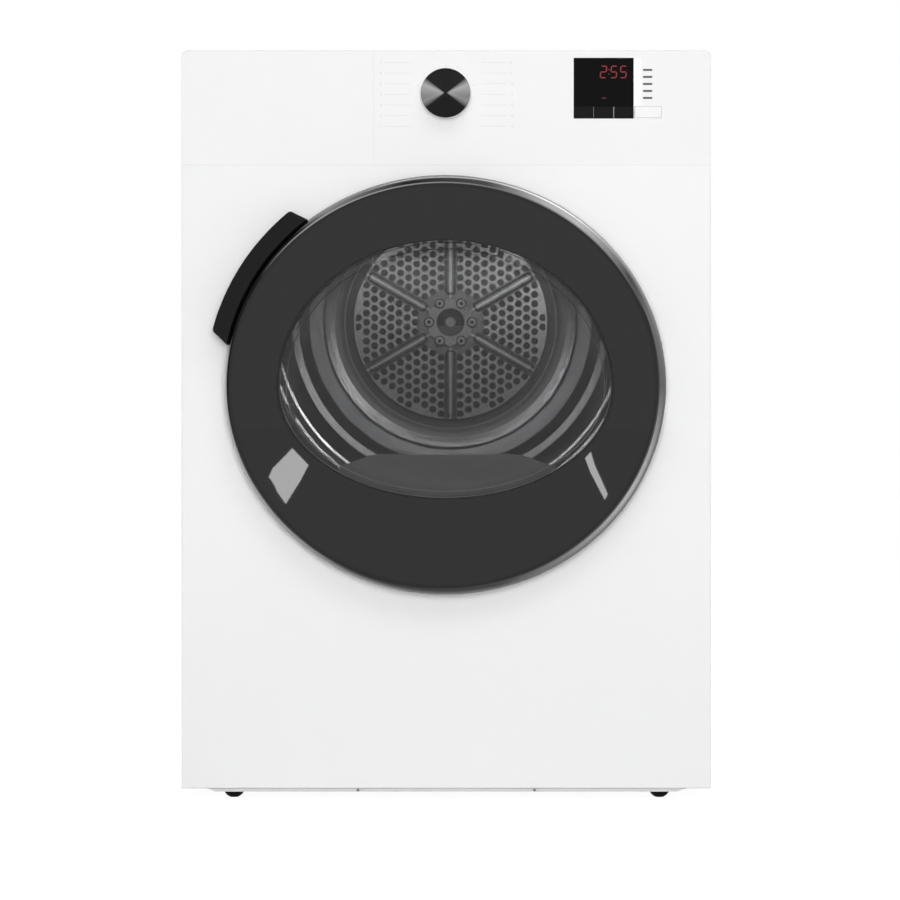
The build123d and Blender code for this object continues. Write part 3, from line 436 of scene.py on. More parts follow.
def cast(name, colour, rough):
    material, flow = new_finish(name)
    across, upright = beside(flow, axle)
    reach = length(across, upright)
    # Painted shade in the pocket round the centre.
    shaded_pocket = (reach < POCKET) * (reach > BOSS)
    screw = from_screw(flow)
    # Painted shadow in a ring round each screw head.
    screw_shadow = (screw > HEAD) * (screw < SCREW_SHADOW_EDGE)
    sand = noise(flow, scale=600.0, detail=4.0)
    bare = tint(flow, sand, shade(colour, 0.85), shade(colour, 1.1))
    bare_with_shadow = tint(flow, screw_shadow, bare, shade(colour, 0.3))
    # Painted shade of the pocket, darker in its upper half.
    pocket_shade = tint(flow, upright > UNLIT, grey(0.16), grey(0.05))
    return close(
        material,
        flow,
        Base_Color=tint(flow, shaded_pocket, bare_with_shadow, pocket_shade),
        Metallic=0.3,
        Roughness=rough - 0.06 + 0.14 * sand,
        Normal=bump(flow, sand, strength=0.1),
    )


def socketed(name, colour, rough):
    material, flow = new_finish(name)
    film = noise(flow, scale=300.0, detail=3.0)
    head = tint(flow, film, shade(colour, 0.9), shade(colour, 1.1))
    return close(
        material,
        flow,
        # Painted shade in the socket of each screw head.
        Base_Color=tint(flow, from_screw(flow) < SHADED_SOCKET, head, shade(colour, 0.15)),
        Metallic=0.3,
        Roughness=rough + 0.1 * film,
    )


# %% [markdown]
# ## The chrome ring of the door
# A polished ring mirrors the whole studio: the bright sides of the room show on its upper
# right and lower right, and dark gaps between the lamps show elsewhere. Here the surround is
# plain white, so these reflections are painted into the ring's colour, which follows the angle
# round the door. Its inner edge is rounded over and mirrors other things than its face, so its
# painted reflection has a ramp of its own, with a thin bright line next to the glass at the top.
# The outer edge falls away to the white front, and its painted reflection of that is lightest at
# the left and the top. Each table has angles in degrees, with 0 at the right and 90 at the top,
# and the grey there.

# %% Mirror bands
cover_low, cover_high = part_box("door_glass")
cover_centre = (cover_low + cover_high) / 2
cover_half = (cover_high - cover_low) / 2
FACE = [
    (-180, 0.05),
    (-163, 0.09),
    (-148, 0.27),
    (-130, 0.21),
    (-115, 0.055),
    (-75, 0.06),
    (-33, 0.42),
    (-20, 0.36),
    (0, 0.13),
    (20, 0.15),
    (32, 0.07),
    (52, 0.49),
    (62, 0.44),
    (78, 0.07),
    (100, 0.02),
    (122, 0.2),
    (130, 0.006),
    (168, 0.006),
    (180, 0.05),
]
EDGE = [
    (-180, 0.012),
    (-145, 0.07),
    (-110, 0.03),
    (-40, 0.1),
    (20, 0.035),
    (50, 0.3),
    (75, 0.17),
    (126, 0.34),
    (148, 0.012),
    (180, 0.012),
]
BEVEL = [
    (-180, 0.5),
    (-95, 0.2),
    (0, 0.14),
    (40, 0.4),
    (62, 0.45),
    (80, 0.28),
    (128, 0.3),
    (133, 0.02),
    (166, 0.02),
    (172, 0.5),
    (180, 0.5),
]
ring_low, ring_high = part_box("door_ring")
ring_centre = (ring_low + ring_high) / 2
ring_half = (ring_high - ring_low) / 2
BEVEL_START = 0.98
BEVEL_END = 0.998
INNER_EDGE = 1.0075


def from_ring(flow):
    """How far out a point is on the ring: 1 on its outer edge."""
    across, upright = beside(flow, ring_centre)
    return length(across / ring_half.x, upright / ring_half.z)


def from_cover(flow):
    """Places across and up from the middle of the door, in half widths of its cover."""
    across, upright = beside(flow, cover_centre)
    return across / cover_half.x, upright / cover_half.z


def mirrored(name):
    material, flow = new_finish(name)
    across, upright = from_cover(flow)
    turn = flow.math("ARCTAN2", upright, across) / (2 * math.pi) + 0.5
    ramps = []
    # Each table is a painted reflection: a grey for each angle round the door.
    for table in (FACE, EDGE, BEVEL):
        stops = [((angle + 180) / 360, level) for angle, level in table]
        ramps.append(flow.node("ShaderNodeValToRGB", {"stops": stops}, {"Fac": turn}))
    face, edge, bevel = ramps
    rim = eased(flow, from_ring(flow), BEVEL_START, BEVEL_END)
    outer = tint(flow, rim, face, bevel)
    haze = noise(flow, scale=60.0, detail=3.0)
    return close(
        material,
        flow,
        Base_Color=tint(flow, length(across, upright) < INNER_EDGE, outer, edge),
        Metallic=1.0,
        Roughness=0.10 + 0.08 * haze,
        Normal=bump(flow, haze, strength=0.02),
    )


# %% [markdown]
# ## Glass
# The door cover is smoked: it lets part of the light through and mirrors the bright room
# a little. A refracting shader would leave the drum black, because lamps don't shine
# through it without caustics. A dark, glossy surface with partial alpha does what the eye
# sees. Round the window the cover is backed by black print and hides the door's frame; the
# print ends in a soft edge along the window, which is a wide oval that is flatter below.

# %% Glass finishes
window_low, window_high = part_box("door_bowl")
WIDEST = 0.465
SIDE_PRINT = 0.009
TOP_PRINT = 0.011
window_centre = Vector(((window_low.x + window_high.x) / 2, 0.0, WIDEST))
window_wide = (window_high.x - window_low.x) / 2 - SIDE_PRINT
window_up = window_high.z - window_centre.z - TOP_PRINT
window_down = window_centre.z - window_low.z - SIDE_PRINT
PRINT_START = 1.004
PRINT_FULL = 1.016
COVER_FACE = 0.985
SMOKE = 0.44
BOWL_WALL = 0.006


def from_window(flow):
    """How far out a point is: 1 on the window's edge, less inside."""
    across, upright = beside(flow, window_centre)
    above = upright > 0.0
    tall = window_down + (window_up - window_down) * above
    return length(across / window_wide, upright / tall)


def smoked(name):
    material, flow = new_finish(name)
    film = noise(flow, scale=5.0, detail=3.0)
    printed = eased(flow, from_window(flow), PRINT_START, PRINT_FULL)
    inside = length(*from_cover(flow)) < COVER_FACE
    pale = inside * (0.8 + 0.4 * film)
    return close(
        material,
        flow,
        Base_Color=tint(flow, pale, grey(0.0), (0.005, 0.005, 0.0053)),
        Roughness=0.008 + 0.008 * film,
        Alpha=SMOKE + (1 - SMOKE) * printed,
        IOR=1.44,
    )


def clear(name, front):
    material, flow = new_finish(name)
    wall = axes_of(flow)[1] < front
    film = noise(flow, scale=6.0, detail=3.0)
    return close(
        material,
        flow,
        Base_Color=tint(flow, film, (0.25, 0.26, 0.26), (0.35, 0.36, 0.36)),
        Roughness=0.04 + 0.03 * film,
        Alpha=0.05 + 0.17 * wall,
        IOR=1.5,
    )


# %% [markdown]
# ## Felt, net and circuit board
# The drum runs on wool felt, the lint filter holds a fine net, and the board behind the
# fascia is lacquered. They are hardly seen with the door shut, but the door opens and the
# filter lifts out, so they have their own finishes too.

# %% Textile and board finishes
THREADS = 4200.0
THREAD_EDGE = 0.55


def felted(name, colour):
    material, flow = new_finish(name)
    wool = noise(flow, scale=700.0, detail=6.0)
    return close(
        material,
        flow,
        Base_Color=tint(flow, wool, shade(colour, 0.6), shade(colour, 1.3)),
        Roughness=0.95,
        Normal=bump(flow, wool, strength=0.5, distance=0.0006),
    )


def netted(name, colour):
    material, flow = new_finish(name)
    across, level = axes_of(flow)[::2]
    warp = flow.math("SINE", across * THREADS)
    weft = flow.math("SINE", level * THREADS)
    thread = flow.math("MAXIMUM", warp, weft)
    return close(
        material,
        flow,
        Base_Color=tint(flow, thread, shade(colour, 0.5), colour),
        Roughness=0.8,
        Alpha=0.25 + 0.75 * (thread > THREAD_EDGE),
        Normal=bump(flow, thread, strength=0.3, distance=0.0004),
    )


def lacquered(name, colour):
    material, flow = new_finish(name)
    sockets = {"Vector": place(flow), "Scale": 160.0}
    traces = flow.node("ShaderNodeTexBrick", None, sockets, out=1)
    return close(
        material,
        flow,
        Base_Color=tint(flow, traces, shade(colour, 0.7), shade(colour, 1.6)),
        Roughness=0.35 + 0.2 * traces,
        Normal=bump(flow, traces, strength=0.2),
    )


# %% [markdown]
# ## One finish for each material slot
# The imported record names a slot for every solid. Building one finish per slot and giving it
# to every solid of that slot keeps pieces of one material alike. The number after a colour is
# the roughness. Three nodes differ from the rest of their slot and get finishes of their own.

# %% Build the finishes
WHITE = (0.875, 0.877, 0.878)
PLASTIC_WHITE = grey(0.875)
FINE = 1500.0
CALM = 0.012
finishes = {
    "white_paint": enamel("white_enamel", WHITE),
    "laminate": moulded("white_laminate", WHITE, 0.42, grain=900.0, depth=0.08, vary=CALM),
    "white_plastic": moulded(
        "white_moulding", PLASTIC_WHITE, 0.36, FINE, depth=0.05, coat=0.1, vary=CALM
    ),
    "start_key": moulded(
        "start_key_white", PLASTIC_WHITE, 0.28, FINE, depth=0.04, coat=0.1, vary=CALM
    ),
    "bulkhead_plastic": moulded("bulkhead_grey", (0.55, 0.55, 0.555), 0.48),
    "base_plastic": moulded("base_pale", grey(0.66), 0.5),
    "zinc_sheet": galvanised("zinc_sheet", (0.62, 0.63, 0.64), 0.42, shaded_inside=1.0),
    "screw_steel": worked("screw_zinc", (0.22, 0.22, 0.23), 0.35),
    "black_plastic": moulded(
        "handle_black", (0.006, 0.006, 0.0063), 0.46, FINE, depth=0.06, shine=0.14
    ),
    "black_key": moulded("key_black", grey(0.006), 0.3, FINE, depth=0.03, shine=0.09),
    "display_black": moulded("display_black", grey(0.003), 0.25, FINE, depth=0.01, shine=0.055),
    "light_lens": moulded("lens_grey", (0.10, 0.10, 0.105), 0.35, FINE, depth=0.05),
    "board": lacquered("board_green", (0.03, 0.14, 0.06)),
    "strip_steel": worked("strip_bright", (0.62, 0.62, 0.63), 0.25, stretch=(0.05, 1.0, 1.0)),
    "felt": felted("felt_grey", (0.22, 0.21, 0.2)),
    "cast_metal": cast("cast_light", (0.52, 0.52, 0.53), 0.45),
    "heater_steel": worked("heater_tinted", (0.25, 0.22, 0.2), 0.5),
    "motor_metal": worked("motor_varnish", (0.2, 0.21, 0.23), 0.5),
    "shaft_steel": worked("shaft_ground", (0.5, 0.5, 0.52), 0.25, stretch=(1.0, 0.1, 1.0)),
    "fan_plastic": moulded("fan_grey", (0.1, 0.1, 0.105), 0.5),
    "duct_plastic": moulded("duct_pale", grey(0.62), 0.5),
    "belt_rubber": rubbery("belt_black", grey(0.012)),
    "chrome_trim": mirrored("ring_chrome"),
    "smoked_glass": smoked("smoked_cover"),
    "liner_plastic": moulded("liner_dark", (0.012, 0.012, 0.013), 0.5),
    "bowl_glass": clear("bowl_clear", window_high.y - BOWL_WALL),
    "seal_rubber": rubbery("seal_grey", grey(0.06)),
    "hinge_steel": worked("hinge_zinc", (0.5, 0.5, 0.52), 0.35),
    "drum_steel": pressed("drum_satin", (0.42, 0.42, 0.43), 0.18),
    "lifter_plastic": moulded("lifter_grey", (0.2, 0.2, 0.205), 0.5, depth=0.015),
    "wheel_plastic": moulded("wheel_grey", (0.14, 0.14, 0.145), 0.45),
    "knob_chrome": worked("knob_satin", grey(0.62), 0.22),
    "knob_face": spun("knob_spun"),
    "filter_plastic": moulded("filter_grey", (0.3, 0.3, 0.305), 0.45),
    "filter_net": netted("filter_net", grey(0.5)),
    "foot_rubber": rubbery("foot_black", grey(0.006)),
}
for entry in record["subparts"]:
    solid = nodes[entry["node"]]
    solid.data.materials.clear()
    solid.data.materials.append(finishes[entry["material_slot"]])
own_finishes = {
    "felt_carriers": galvanised("carrier_zinc", (0.55, 0.56, 0.57), 0.45),
    "drum_grille": ribbed("grille_satin", (0.64, 0.64, 0.65), 0.34),
    "hub_screws": socketed("hub_screw_bright", (0.6, 0.6, 0.61), 0.35),
}
for name, finish in own_finishes.items():
    nodes[name].data.materials[0] = finish
print("finishes", len(finishes))

# %% [markdown]
# ## Flat marks on the fascia
# The fascia carries thin print: ticks round the knob, and plain numbers for the programs, each
# with a line towards the knob. The display has lit segments. Marks have almost no thickness,
# so each is a thin raised plate, at most 0.15 mm proud of the surface.

# %% Helpers for thin marks
MM = 0.001
front_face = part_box("control_fascia")[0].y
display_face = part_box("display_window")[0].y
PROUD = 0.06 * MM
SUNK = 0.02 * MM


def new_piece(name, mesh_maker, finish, body):
    mesh = bpy.data.meshes.new(name)
    work = bmesh.new()
    mesh_maker(work)
    bmesh.ops.recalc_face_normals(work, faces=work.faces)
    work.to_mesh(mesh)
    work.free()
    mesh.materials.append(finish)
    piece = bpy.data.objects.new(name, mesh)
    bpy.context.scene.collection.objects.link(piece)
    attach(piece, body)


def plate(work, outline, face, proud=PROUD):
    """A thin plate on the front: outline points are (x, z), face is the depth it lies on."""
    front = [work.verts.new((x, face - proud, z)) for x, z in outline]
    back = [work.verts.new((x, face + SUNK, z)) for x, z in outline]
    work.faces.new(front)
    work.faces.new(back[::-1])
    for i in range(len(outline)):
        j = (i + 1) % len(outline)
        work.faces.new((front[i], back[i], back[j], front[j]))


def bar(start, end, wide):
    """The four corners of a straight stroke."""
    along = (Vector(end) - Vector(start)).normalized() * wide / 2
    side = Vector((-along.y, along.x))
    a, b = Vector(start), Vector(end)
    return [a - side, a + side, b + side, b - side]


# %% [markdown]
# ## The time on the display
# A seven-segment digit is seven slanted bars. Each is a hexagon with pointed ends, which is
# how the real light bars are moulded, and the slant is a shear to the right. They glow, so
# their finish is an emission.

# %% Seven-segment digits
def glowing(name, colour):
    material, flow = new_finish(name)
    return close(
        material,
        flow,
        Base_Color=(*shade(colour, 0.3), 1.0),
        Roughness=0.4,
        Emission_Color=(*colour, 1.0),
        Emission_Strength=1.0,
    )


red_glow = glowing("segment_red", (0.19, 0.011, 0.016))
dim_glow = glowing("dash_red", (0.07, 0.006, 0.008))
DIGIT_WIDE = 6.4 * MM
DIGIT_TALL = 13.0 * MM
STROKE = 1.2 * MM
TIP_GAP = 0.25 * MM
SLANT = 0.08
CLOCK_LOW = 814.6 * MM
CLOCK_FIGURES = ((173.6 * MM, "2"), (185.2 * MM, "5"), (196.0 * MM, "5"))
COLON_LEFT = 182.9 * MM
COLON_LEVELS = (4.0 * MM, 9.0 * MM)
DOT = 1.1 * MM
DASH_START = (175.4 * MM, 791.6 * MM)
DASH_LONG = 4.8 * MM
LIT = {"2": "abged", "5": "afgcd"}
SEGMENTS = {
    "a": ((0, 2), (1, 2)),
    "b": ((1, 2), (1, 1)),
    "c": ((1, 1), (1, 0)),
    "d": ((0, 0), (1, 0)),
    "e": ((0, 1), (0, 0)),
    "f": ((0, 2), (0, 1)),
    "g": ((0, 1), (1, 1)),
}


def segment(work, start, end):
    along = (end - start).normalized()
    side = Vector((-along.y, along.x)) * STROKE / 2
    tip = along * STROKE / 2
    gap = along * TIP_GAP
    a, b = start + gap, end - gap
    points = [a, a + tip + side, b - tip + side, b, b - tip - side, a + tip - side]
    plate(work, [(p.x, p.y) for p in points], display_face)


def digit_at(work, left, low, figure):
    for letter in LIT[figure]:
        ends = []
        for column, level in SEGMENTS[letter]:
            rise = level * DIGIT_TALL / 2
            ends.append(Vector((left + column * DIGIT_WIDE + SLANT * rise, low + rise)))
        segment(work, *ends)


def clock(work):
    for left, figure in CLOCK_FIGURES:
        digit_at(work, left, CLOCK_LOW, figure)
    for level in COLON_LEVELS:
        dot = Vector((COLON_LEFT, CLOCK_LOW + level))
        plate(work, bar(dot, dot + Vector((DOT, 0)), DOT), display_face)


def dash(work):
    mark = Vector(DASH_START)
    plate(work, bar(mark, mark + Vector((DASH_LONG, 0)), STROKE), display_face)


new_piece("display_digits", clock, red_glow, "cabinet")
new_piece("display_dash", dash, dim_glow, "cabinet")
print("display face", round(display_face, 5))

# %% [markdown]
# ## Program ring
# Round the knob stand fine ticks: one at the top for off, and one for each program. On either
# side, lines lead out to plain numbers. The print is pale grey on white and hardly stands out.

# %% Ticks, lines and numbers
print_grey = moulded("print_grey", (0.68, 0.68, 0.69), 0.5)
TICK_LONG = 2.4 * MM
TICK_WIDE = 0.5 * MM
KNOB_EDGE = 32.0 * MM
knob_spot = Vector((knob_centre.x, knob_centre.z))
TICKS = [90 + 24 * step for step in range(15)]
ROW_STEP = 12.0 * MM
ROWS = [ROW_STEP * step for step in range(3, -4, -1)]
NEAR = 40.0 * MM
FAR = 72.0 * MM
NUMBER_GAP = 3.0 * MM
LINE_WIDE = 0.35 * MM


def ring_marks(work):
    for turn in TICKS:
        way = Vector((math.cos(math.radians(turn)), math.sin(math.radians(turn))))
        start = knob_spot + way * KNOB_EDGE
        plate(work, bar(start, start + way * TICK_LONG, TICK_WIDE), front_face)
    for side in (-1, 1):
        for row in ROWS:
            outer = knob_spot + Vector((side * (FAR - NUMBER_GAP), row))
            inner = knob_spot + Vector((side * NEAR, row))
            plate(work, bar(outer, inner, LINE_WIDE), front_face)


new_piece("program_ticks", ring_marks, print_grey, "cabinet")
FIGURE = 4.6 * MM
FIGURE_HALF_THICK = 0.02 * MM
FIGURE_PROUD = 0.03 * MM


def number(text, x, z, align):
    curve = bpy.data.curves.new("number_" + text, "FONT")
    curve.body = text
    curve.size = FIGURE
    curve.align_x = align
    curve.align_y = "CENTER"
    curve.extrude = FIGURE_HALF_THICK
    letters = bpy.data.objects.new("number_" + text, curve)
    bpy.context.scene.collection.objects.link(letters)
    letters.rotation_euler = (math.radians(90), 0, 0)
    letters.location = (x, front_face - FIGURE_PROUD, z)
    bpy.context.view_layer.update()
    graph = bpy.context.evaluated_depsgraph_get()
    mesh = bpy.data.meshes.new_from_object(letters.evaluated_get(graph))
    mesh.transform(letters.matrix_world)
    bpy.data.objects.remove(letters)
    mesh.materials.clear()
    mesh.materials.append(print_grey)
    piece = bpy.data.objects.new("program_" + text, mesh)
    bpy.context.scene.collection.objects.link(piece)
    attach(piece, "cabinet")


for index, row in enumerate(ROWS):
    level = knob_spot.y + row
    number(str(len(ROWS) - index), knob_spot.x - FAR, level, "RIGHT")
    number(str(len(ROWS) + 1 + index), knob_spot.x + FAR, level, "LEFT")
print("program numbers", 2 * len(ROWS))

# %% [markdown]
# ## Seams of the fascia
# The fascia's two mouldings and the front panel fit closely. What shows of a joint is a faint
# grey hair line, so each seam gets a very thin grey plate.

# %% Seam lines
seam_grey = moulded("seam_grey", grey(0.62), 0.6)
insert_low, insert_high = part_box("fascia_insert")
fascia_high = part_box("control_fascia")[1]
SEAM_WIDE = 0.22 * MM
SEAM_PROUD = 0.02 * MM
MARGIN = 2.0 * MM


def seams(work):
    low = (insert_high.x, insert_low.z + MARGIN)
    high = (insert_high.x, insert_high.z - MARGIN)
    left = (insert_low.x + MARGIN, insert_low.z)
    right = (fascia_high.x - MARGIN, insert_low.z)
    for start, end in ((low, high), (left, right)):
        plate(work, bar(start, end, SEAM_WIDE), front_face, SEAM_PROUD)


new_piece("seam_lines", seams, seam_grey, "cabinet")

# %% [markdown]
# ## White bar beside the display
# A bright strip stands between the display and the five light slots. It is a thin gloss plate
# with rounded corners on the fascia.

# %% Strip
CORNER_STEPS = 5
STRIP_SIDES = (211.5 * MM, 219.6 * MM)
STRIP_ENDS = (783.4 * MM, 836.9 * MM)
STRIP_RADIUS = 0.8 * MM
STRIP_PROUD = 0.15 * MM


def rounded(low_x, high_x, low_z, high_z, radius):
    """Corner points of a rounded rectangle."""
    points = []
    for corner_x, corner_z, turn in (
        (high_x - radius, high_z - radius, 0),
        (low_x + radius, high_z - radius, 90),
        (low_x + radius, low_z + radius, 180),
        (high_x - radius, low_z + radius, 270),
    ):
        for step in range(CORNER_STEPS + 1):
            angle = math.radians(turn + 90 * step / CORNER_STEPS)
            x = corner_x + radius * math.cos(angle)
            z = corner_z + radius * math.sin(angle)
            points.append((x, z))
    return points


strip_white = moulded("strip_white", grey(0.97), 0.25, FINE, depth=0.02, coat=0.3)
strip_outline = rounded(*STRIP_SIDES, *STRIP_ENDS, STRIP_RADIUS)
new_piece(
    "display_strip",
    lambda work: plate(work, strip_outline, front_face, STRIP_PROUD),
    strip_white,
    "cabinet",
)

# %% [markdown]
# ## Dividers between the black buttons
# The three black buttons and the display look like one block; only two pale lines part the
# buttons. Each line is a narrow plate on the black frame between them.

# %% Dividers
button_boxes = [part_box(name) for name in ("button_left", "button_middle", "button_right")]
divider_grey = moulded("divider_grey", grey(0.34), 0.4, FINE, depth=0.03)
DIVIDER_END = 0.4 * MM
DIVIDER_WIDTHS = (0.4 * MM, 0.8 * MM)


def dividers(work):
    low_z = button_boxes[0][0].z + DIVIDER_END
    high_z = button_boxes[0][1].z - DIVIDER_END
    for index, wide in enumerate(DIVIDER_WIDTHS):
        middle = (button_boxes[index][1].x + button_boxes[index + 1][0].x) / 2
        plate(work, bar((middle, low_z), (middle, high_z), wide), display_face)


new_piece("button_dividers", dividers, divider_grey, "cabinet")

# %% [markdown]
# ## Beads of the glass bowl
# The bowl is pressed glass. A bead runs round its mouth and a second one a little deeper, and
# both carry a painted highlight along the window's edge, which fades to painted shade at the
# top, where the print shades them. A small round section carried along the window's oval makes
# each bead.

# %% Beads
BEAD = 0.4 * MM
AROUND = 180
SIDES = 8
bowl_front = window_low.y
BEADS = ((0.2 * MM, -0.3 * MM), (7.0 * MM, 9.3 * MM))
SHADED_FROM = 0.10
BRIGHT_FROM = -0.03


def oval_point(angle, inset):
    tall = window_up if math.sin(angle) > 0 else window_down
    x = window_centre.x + (window_wide - inset) * math.cos(angle)
    return Vector((x, window_centre.z + (tall - inset) * math.sin(angle)))


def bead(work, inset, depth):
    rings = []
    for step in range(AROUND):
        angle = 2 * math.pi * step / AROUND
        spot = oval_point(angle, inset)
        out = (oval_point(angle, 0.0) - spot).normalized()
        ring = []
        for side in range(SIDES):
            turn = 2 * math.pi * side / SIDES
            flat = spot + out * BEAD * math.cos(turn)
            ring.append(work.verts.new((flat.x, depth + BEAD * math.sin(turn), flat.y)))
        rings.append(ring)
    for step in range(AROUND):
        here, there = rings[step], rings[(step + 1) % AROUND]
        for side in range(SIDES):
            other = (side + 1) % SIDES
            work.faces.new((here[side], here[other], there[other], there[side]))


def beads(work):
    for inset, depth in BEADS:
        bead(work, inset, bowl_front + depth)


def bead_highlight(name):
    material, flow = new_finish(name)
    upright = beside(flow, window_centre)[1]
    # Painted highlight below, fading to painted shade towards the top.
    low = eased(flow, upright, SHADED_FROM, BRIGHT_FROM)
    film = noise(flow, scale=40.0, detail=3.0)
    return close(
        material,
        flow,
        Base_Color=tint(flow, low, grey(0.02), (0.8, 0.8, 0.81)),
        Roughness=0.1 + 0.08 * film,
    )


new_piece("bowl_beads", beads, bead_highlight("bead_glass"), "door")
print("bead points", AROUND)

# %% [markdown]
# ## Camera
# The photograph is taken level, square to the front, from several metres away: upright edges
# stay parallel and the sides don't show. The width of the cabinet in the picture gives the
# scale, 1.1275 mm for each of the 900 pixels across on the front plane. Deep in the door, the
# middle of the drum stands right of the middle of the door, so the camera stands a little to
# the right of the dryer; a sideways shift of the lens keeps the front where it was. The
# picture keeps the scene's own values, through the Standard view.

# %% Camera
PIXEL = 1.1275 * MM
ACROSS = 900
MIDDLE_COLUMN = 446.25
FLOOR_ROW = 800.2
DISTANCE = 5.0
ASIDE = 0.053
SENSOR = 36.0
picture_middle = ACROSS / 2
camera_data = bpy.data.cameras.new("studio_camera")
camera_data.sensor_fit = "HORIZONTAL"
camera_data.sensor_width = SENSOR
camera_data.lens = SENSOR * DISTANCE / (ACROSS * PIXEL)
camera_data.shift_x = -ASIDE / (ACROSS * PIXEL)
camera = bpy.data.objects.new("studio_camera", camera_data)
camera.location = (
    (picture_middle - MIDDLE_COLUMN) * PIXEL + ASIDE,
    front_face - DISTANCE,
    (FLOOR_ROW - picture_middle) * PIXEL,
)
camera.rotation_euler = (math.radians(90), 0, 0)
bpy.context.scene.collection.objects.link(camera)
bpy.context.scene.camera = camera
bpy.context.scene.view_settings.view_transform = "Standard"
print("lens", round(camera_data.lens, 1))

# %% [markdown]
# ## Studio
# The dryer stands on a white floor in a white surround. What the camera, the chrome and the
# glass see of the surround is plain white; what lights the dryer is much weaker, so white
# paint stays below pure white and lamps can shape it.

# %% Surround
SKY_LIGHT = 0.28
SKY_SHOWN = 1.0


def ray_kinds(flow):
    """Whether a ray comes from the camera, from a mirror or through glass."""
    outputs = flow.node("ShaderNodeLightPath").socket.node.outputs
    names = ("Is Camera Ray", "Is Glossy Ray", "Is Transmission Ray")
    return [Flow(flow.tree, outputs[name]) for name in names]


def white_light(flow, kind, strength):
    return flow.node(kind, None, {"Color": (1, 1, 1, 1), "Strength": strength})


world = bpy.data.worlds.new("studio")
world.use_nodes = True
world.node_tree.nodes.clear()
sky = Flow(world.node_tree)
camera_ray, mirror_ray, glass_ray = ray_kinds(sky)
shown = sky.math("MINIMUM", camera_ray + mirror_ray + glass_ray, 1.0)
lit = white_light(sky, "ShaderNodeBackground", SKY_LIGHT)
plain = white_light(sky, "ShaderNodeBackground", SKY_SHOWN)
both = sky.node("ShaderNodeMixShader", None, {0: shown, 1: lit, 2: plain})
sky.node("ShaderNodeOutputWorld", None, {"Surface": both})
bpy.context.scene.world = world

# %% [markdown]
# The floor is white paper that carries on out of the picture. Lit paper is as bright as the
# surround, so for the camera it also glows; the share that is plain paper keeps the shadow
# under the dryer. In the chrome and the glass it runs on into the surround.

# %% Floor
PAPER = (*grey(0.8), 1)
PAPER_SHARE = (*grey(0.3), 1)
FLOOR_SHOWN = 0.94
FLOOR_MIRRORED = 0.95


def floor_finish():
    material, flow = new_finish("studio_floor")
    camera_ray, mirror_ray, glass_ray = ray_kinds(flow)
    seen = flow.math("MINIMUM", camera_ray + glass_ray, 1.0)
    paper = flow.node("ShaderNodeBsdfDiffuse", None, {"Color": PAPER})
    pale = flow.node("ShaderNodeBsdfDiffuse", None, {"Color": PAPER_SHARE})
    glow = white_light(flow, "ShaderNodeEmission", FLOOR_SHOWN)
    shown = flow.node("ShaderNodeAddShader", None, {0: pale, 1: glow})
    either = flow.node("ShaderNodeMixShader", None, {0: seen, 1: paper, 2: shown})
    far = white_light(flow, "ShaderNodeEmission", FLOOR_MIRRORED)
    every = flow.node("ShaderNodeMixShader", None, {0: mirror_ray, 1: either, 2: far})
    flow.node("ShaderNodeOutputMaterial", None, {"Surface": every})
    return material


REACH = 30.0
corners = [(-REACH, -REACH, 0), (REACH, -REACH, 0), (REACH, REACH, 0), (-REACH, REACH, 0)]
floor_mesh = bpy.data.meshes.new("studio_floor")
floor_mesh.from_pydata(corners, [], [(0, 1, 2, 3)])
floor_mesh.materials.append(floor_finish())
floor = bpy.data.objects.new("studio_floor", floor_mesh)
bpy.context.scene.collection.objects.link(floor)

# %% [markdown]
# A broad lamp stands high in front and a large one close to the camera, which keeps shadows
# short; mirrors don't show that one, or it would hide the drum behind its glare. Three weak
# lamps beside and behind the dryer light its sides, top and rear for views from there, and
# mirrors don't show them either. Small lamps inside light the drum and its sill. Two more on
# either side of the drum's mouth show as bright arcs on the sloped steps of the drum's back,
# low down on the other side: how steep a step is tells where its lamp has to be.

# %% Lamps
def lamp(name, spot, aim, size, power, roll=0.0):
    data = bpy.data.lights.new(name, "AREA")
    data.shape = "RECTANGLE"
    data.size, data.size_y = size
    data.energy = power
    made = bpy.data.objects.new(name, data)
    made.location = spot
    back = (Vector(spot) - Vector(aim)).normalized()
    lengthways = Vector((math.cos(math.radians(roll)), 0.0, math.sin(math.radians(roll))))
    across = (lengthways - lengthways.dot(back) * back).normalized()
    turn = Matrix((across, back.cross(across), back)).transposed()
    made.rotation_euler = turn.to_euler()
    made.visible_camera = False
    bpy.context.scene.collection.objects.link(made)
    return made


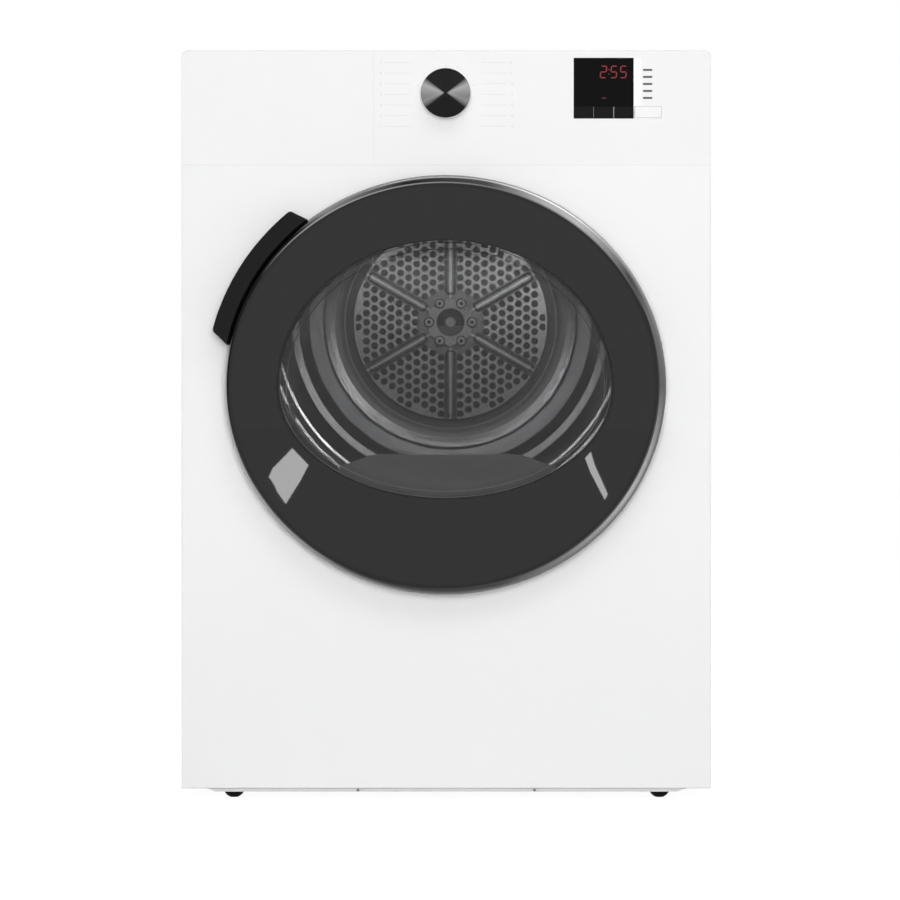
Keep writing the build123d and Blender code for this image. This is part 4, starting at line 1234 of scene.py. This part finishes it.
lamp("key_lamp", (0.6, -3.4, 3.4), aim=(0, -0.2, 0.6), size=(3.0, 2.0), power=32.0)
fill = lamp("fill_lamp", (0.1, -5.6, 0.9), aim=(0, -0.2, 0.45), size=(1.6, 1.6), power=147.0)
fill.visible_glossy = False
BESIDE_SIZE = (1.4, 0.5)
BESIDE_SPREAD = math.radians(50)
for name, spot, aim, power in (
    ("left_lamp", (-3.0, 0.7, 0.35), (-0.3, 0.05, 0.55), 2.2),
    ("right_lamp", (3.0, 0.7, 0.35), (0.3, 0.05, 0.55), 2.2),
    ("rear_lamp", (0.0, 3.2, 2.4), (0.0, 0.1, 0.8), 4.5),
):
    behind = lamp(name, spot, aim, BESIDE_SIZE, power)
    behind.visible_glossy = False
    behind.data.spread = BESIDE_SPREAD
lamp("throat_lamp", (0.0, -0.12, 0.72), aim=(0, 0.217, 0.50), size=(0.30, 0.05), power=0.12)
lamp("sill_lamp", (0.0, -0.232, 0.612), aim=(0, -0.205, 0.39), size=(0.20, 0.012), power=0.33)
CORNER = math.radians(40)
STEP_REACH = 0.2
STEP_DEPTH = -0.125
STEP_SIZE = (0.10, 0.015)
STEP_SHARES = ((1, 1.0), (-1, 0.5))
STEP_LAMPS = ((0.168, 0.2), (0.09, 0.028))
for side, share in STEP_SHARES:
    way = Vector((side * math.cos(CORNER), 0.0, math.sin(CORNER)))
    aim = axle - way * STEP_REACH
    roll = math.degrees(math.atan2(way.z, way.x)) + 90
    for reach, power in STEP_LAMPS:
        spot = Vector((axle.x, STEP_DEPTH, axle.z)) + way * reach
        lamp("step_lamp", spot, aim, STEP_SIZE, power * share, roll)

# %% [markdown]
# The domed cover also mirrors two bright things beside the camera, low down: a window shows as
# a pale patch at its lower left and a narrow strip as a sliver at its lower right. Cards of
# those outlines stand there. Only mirrors see them, so they neither light the dryer nor show.

# %% Reflection cards
CARD_DEPTH = -5.2
CARD_STRENGTH = 12.0


def card_finish():
    material, flow = new_finish("card_glow")
    glow = white_light(flow, "ShaderNodeEmission", CARD_STRENGTH)
    flow.node("ShaderNodeOutputMaterial", None, {"Surface": glow})
    return material


def card(name, corners, finish):
    mesh = bpy.data.meshes.new(name)
    mesh.from_pydata([(x, CARD_DEPTH, z) for x, z in corners], [], [range(len(corners))])
    mesh.materials.append(finish)
    made = bpy.data.objects.new(name, mesh)
    made.visible_camera = False
    made.visible_diffuse = False
    made.visible_transmission = False
    made.visible_shadow = False
    bpy.context.scene.collection.objects.link(made)


card_glow = card_finish()
window = [(-0.743, 0.257), (-0.670, 0.180), (-0.748, 0.029), (-0.826, 0.141), (-0.820, 0.173)]
strip = [(0.576, 0.212), (0.602, 0.241), (0.652, 0.072), (0.638, 0.047)]
card("window_card", window, card_glow)
card("strip_card", strip, card_glow)
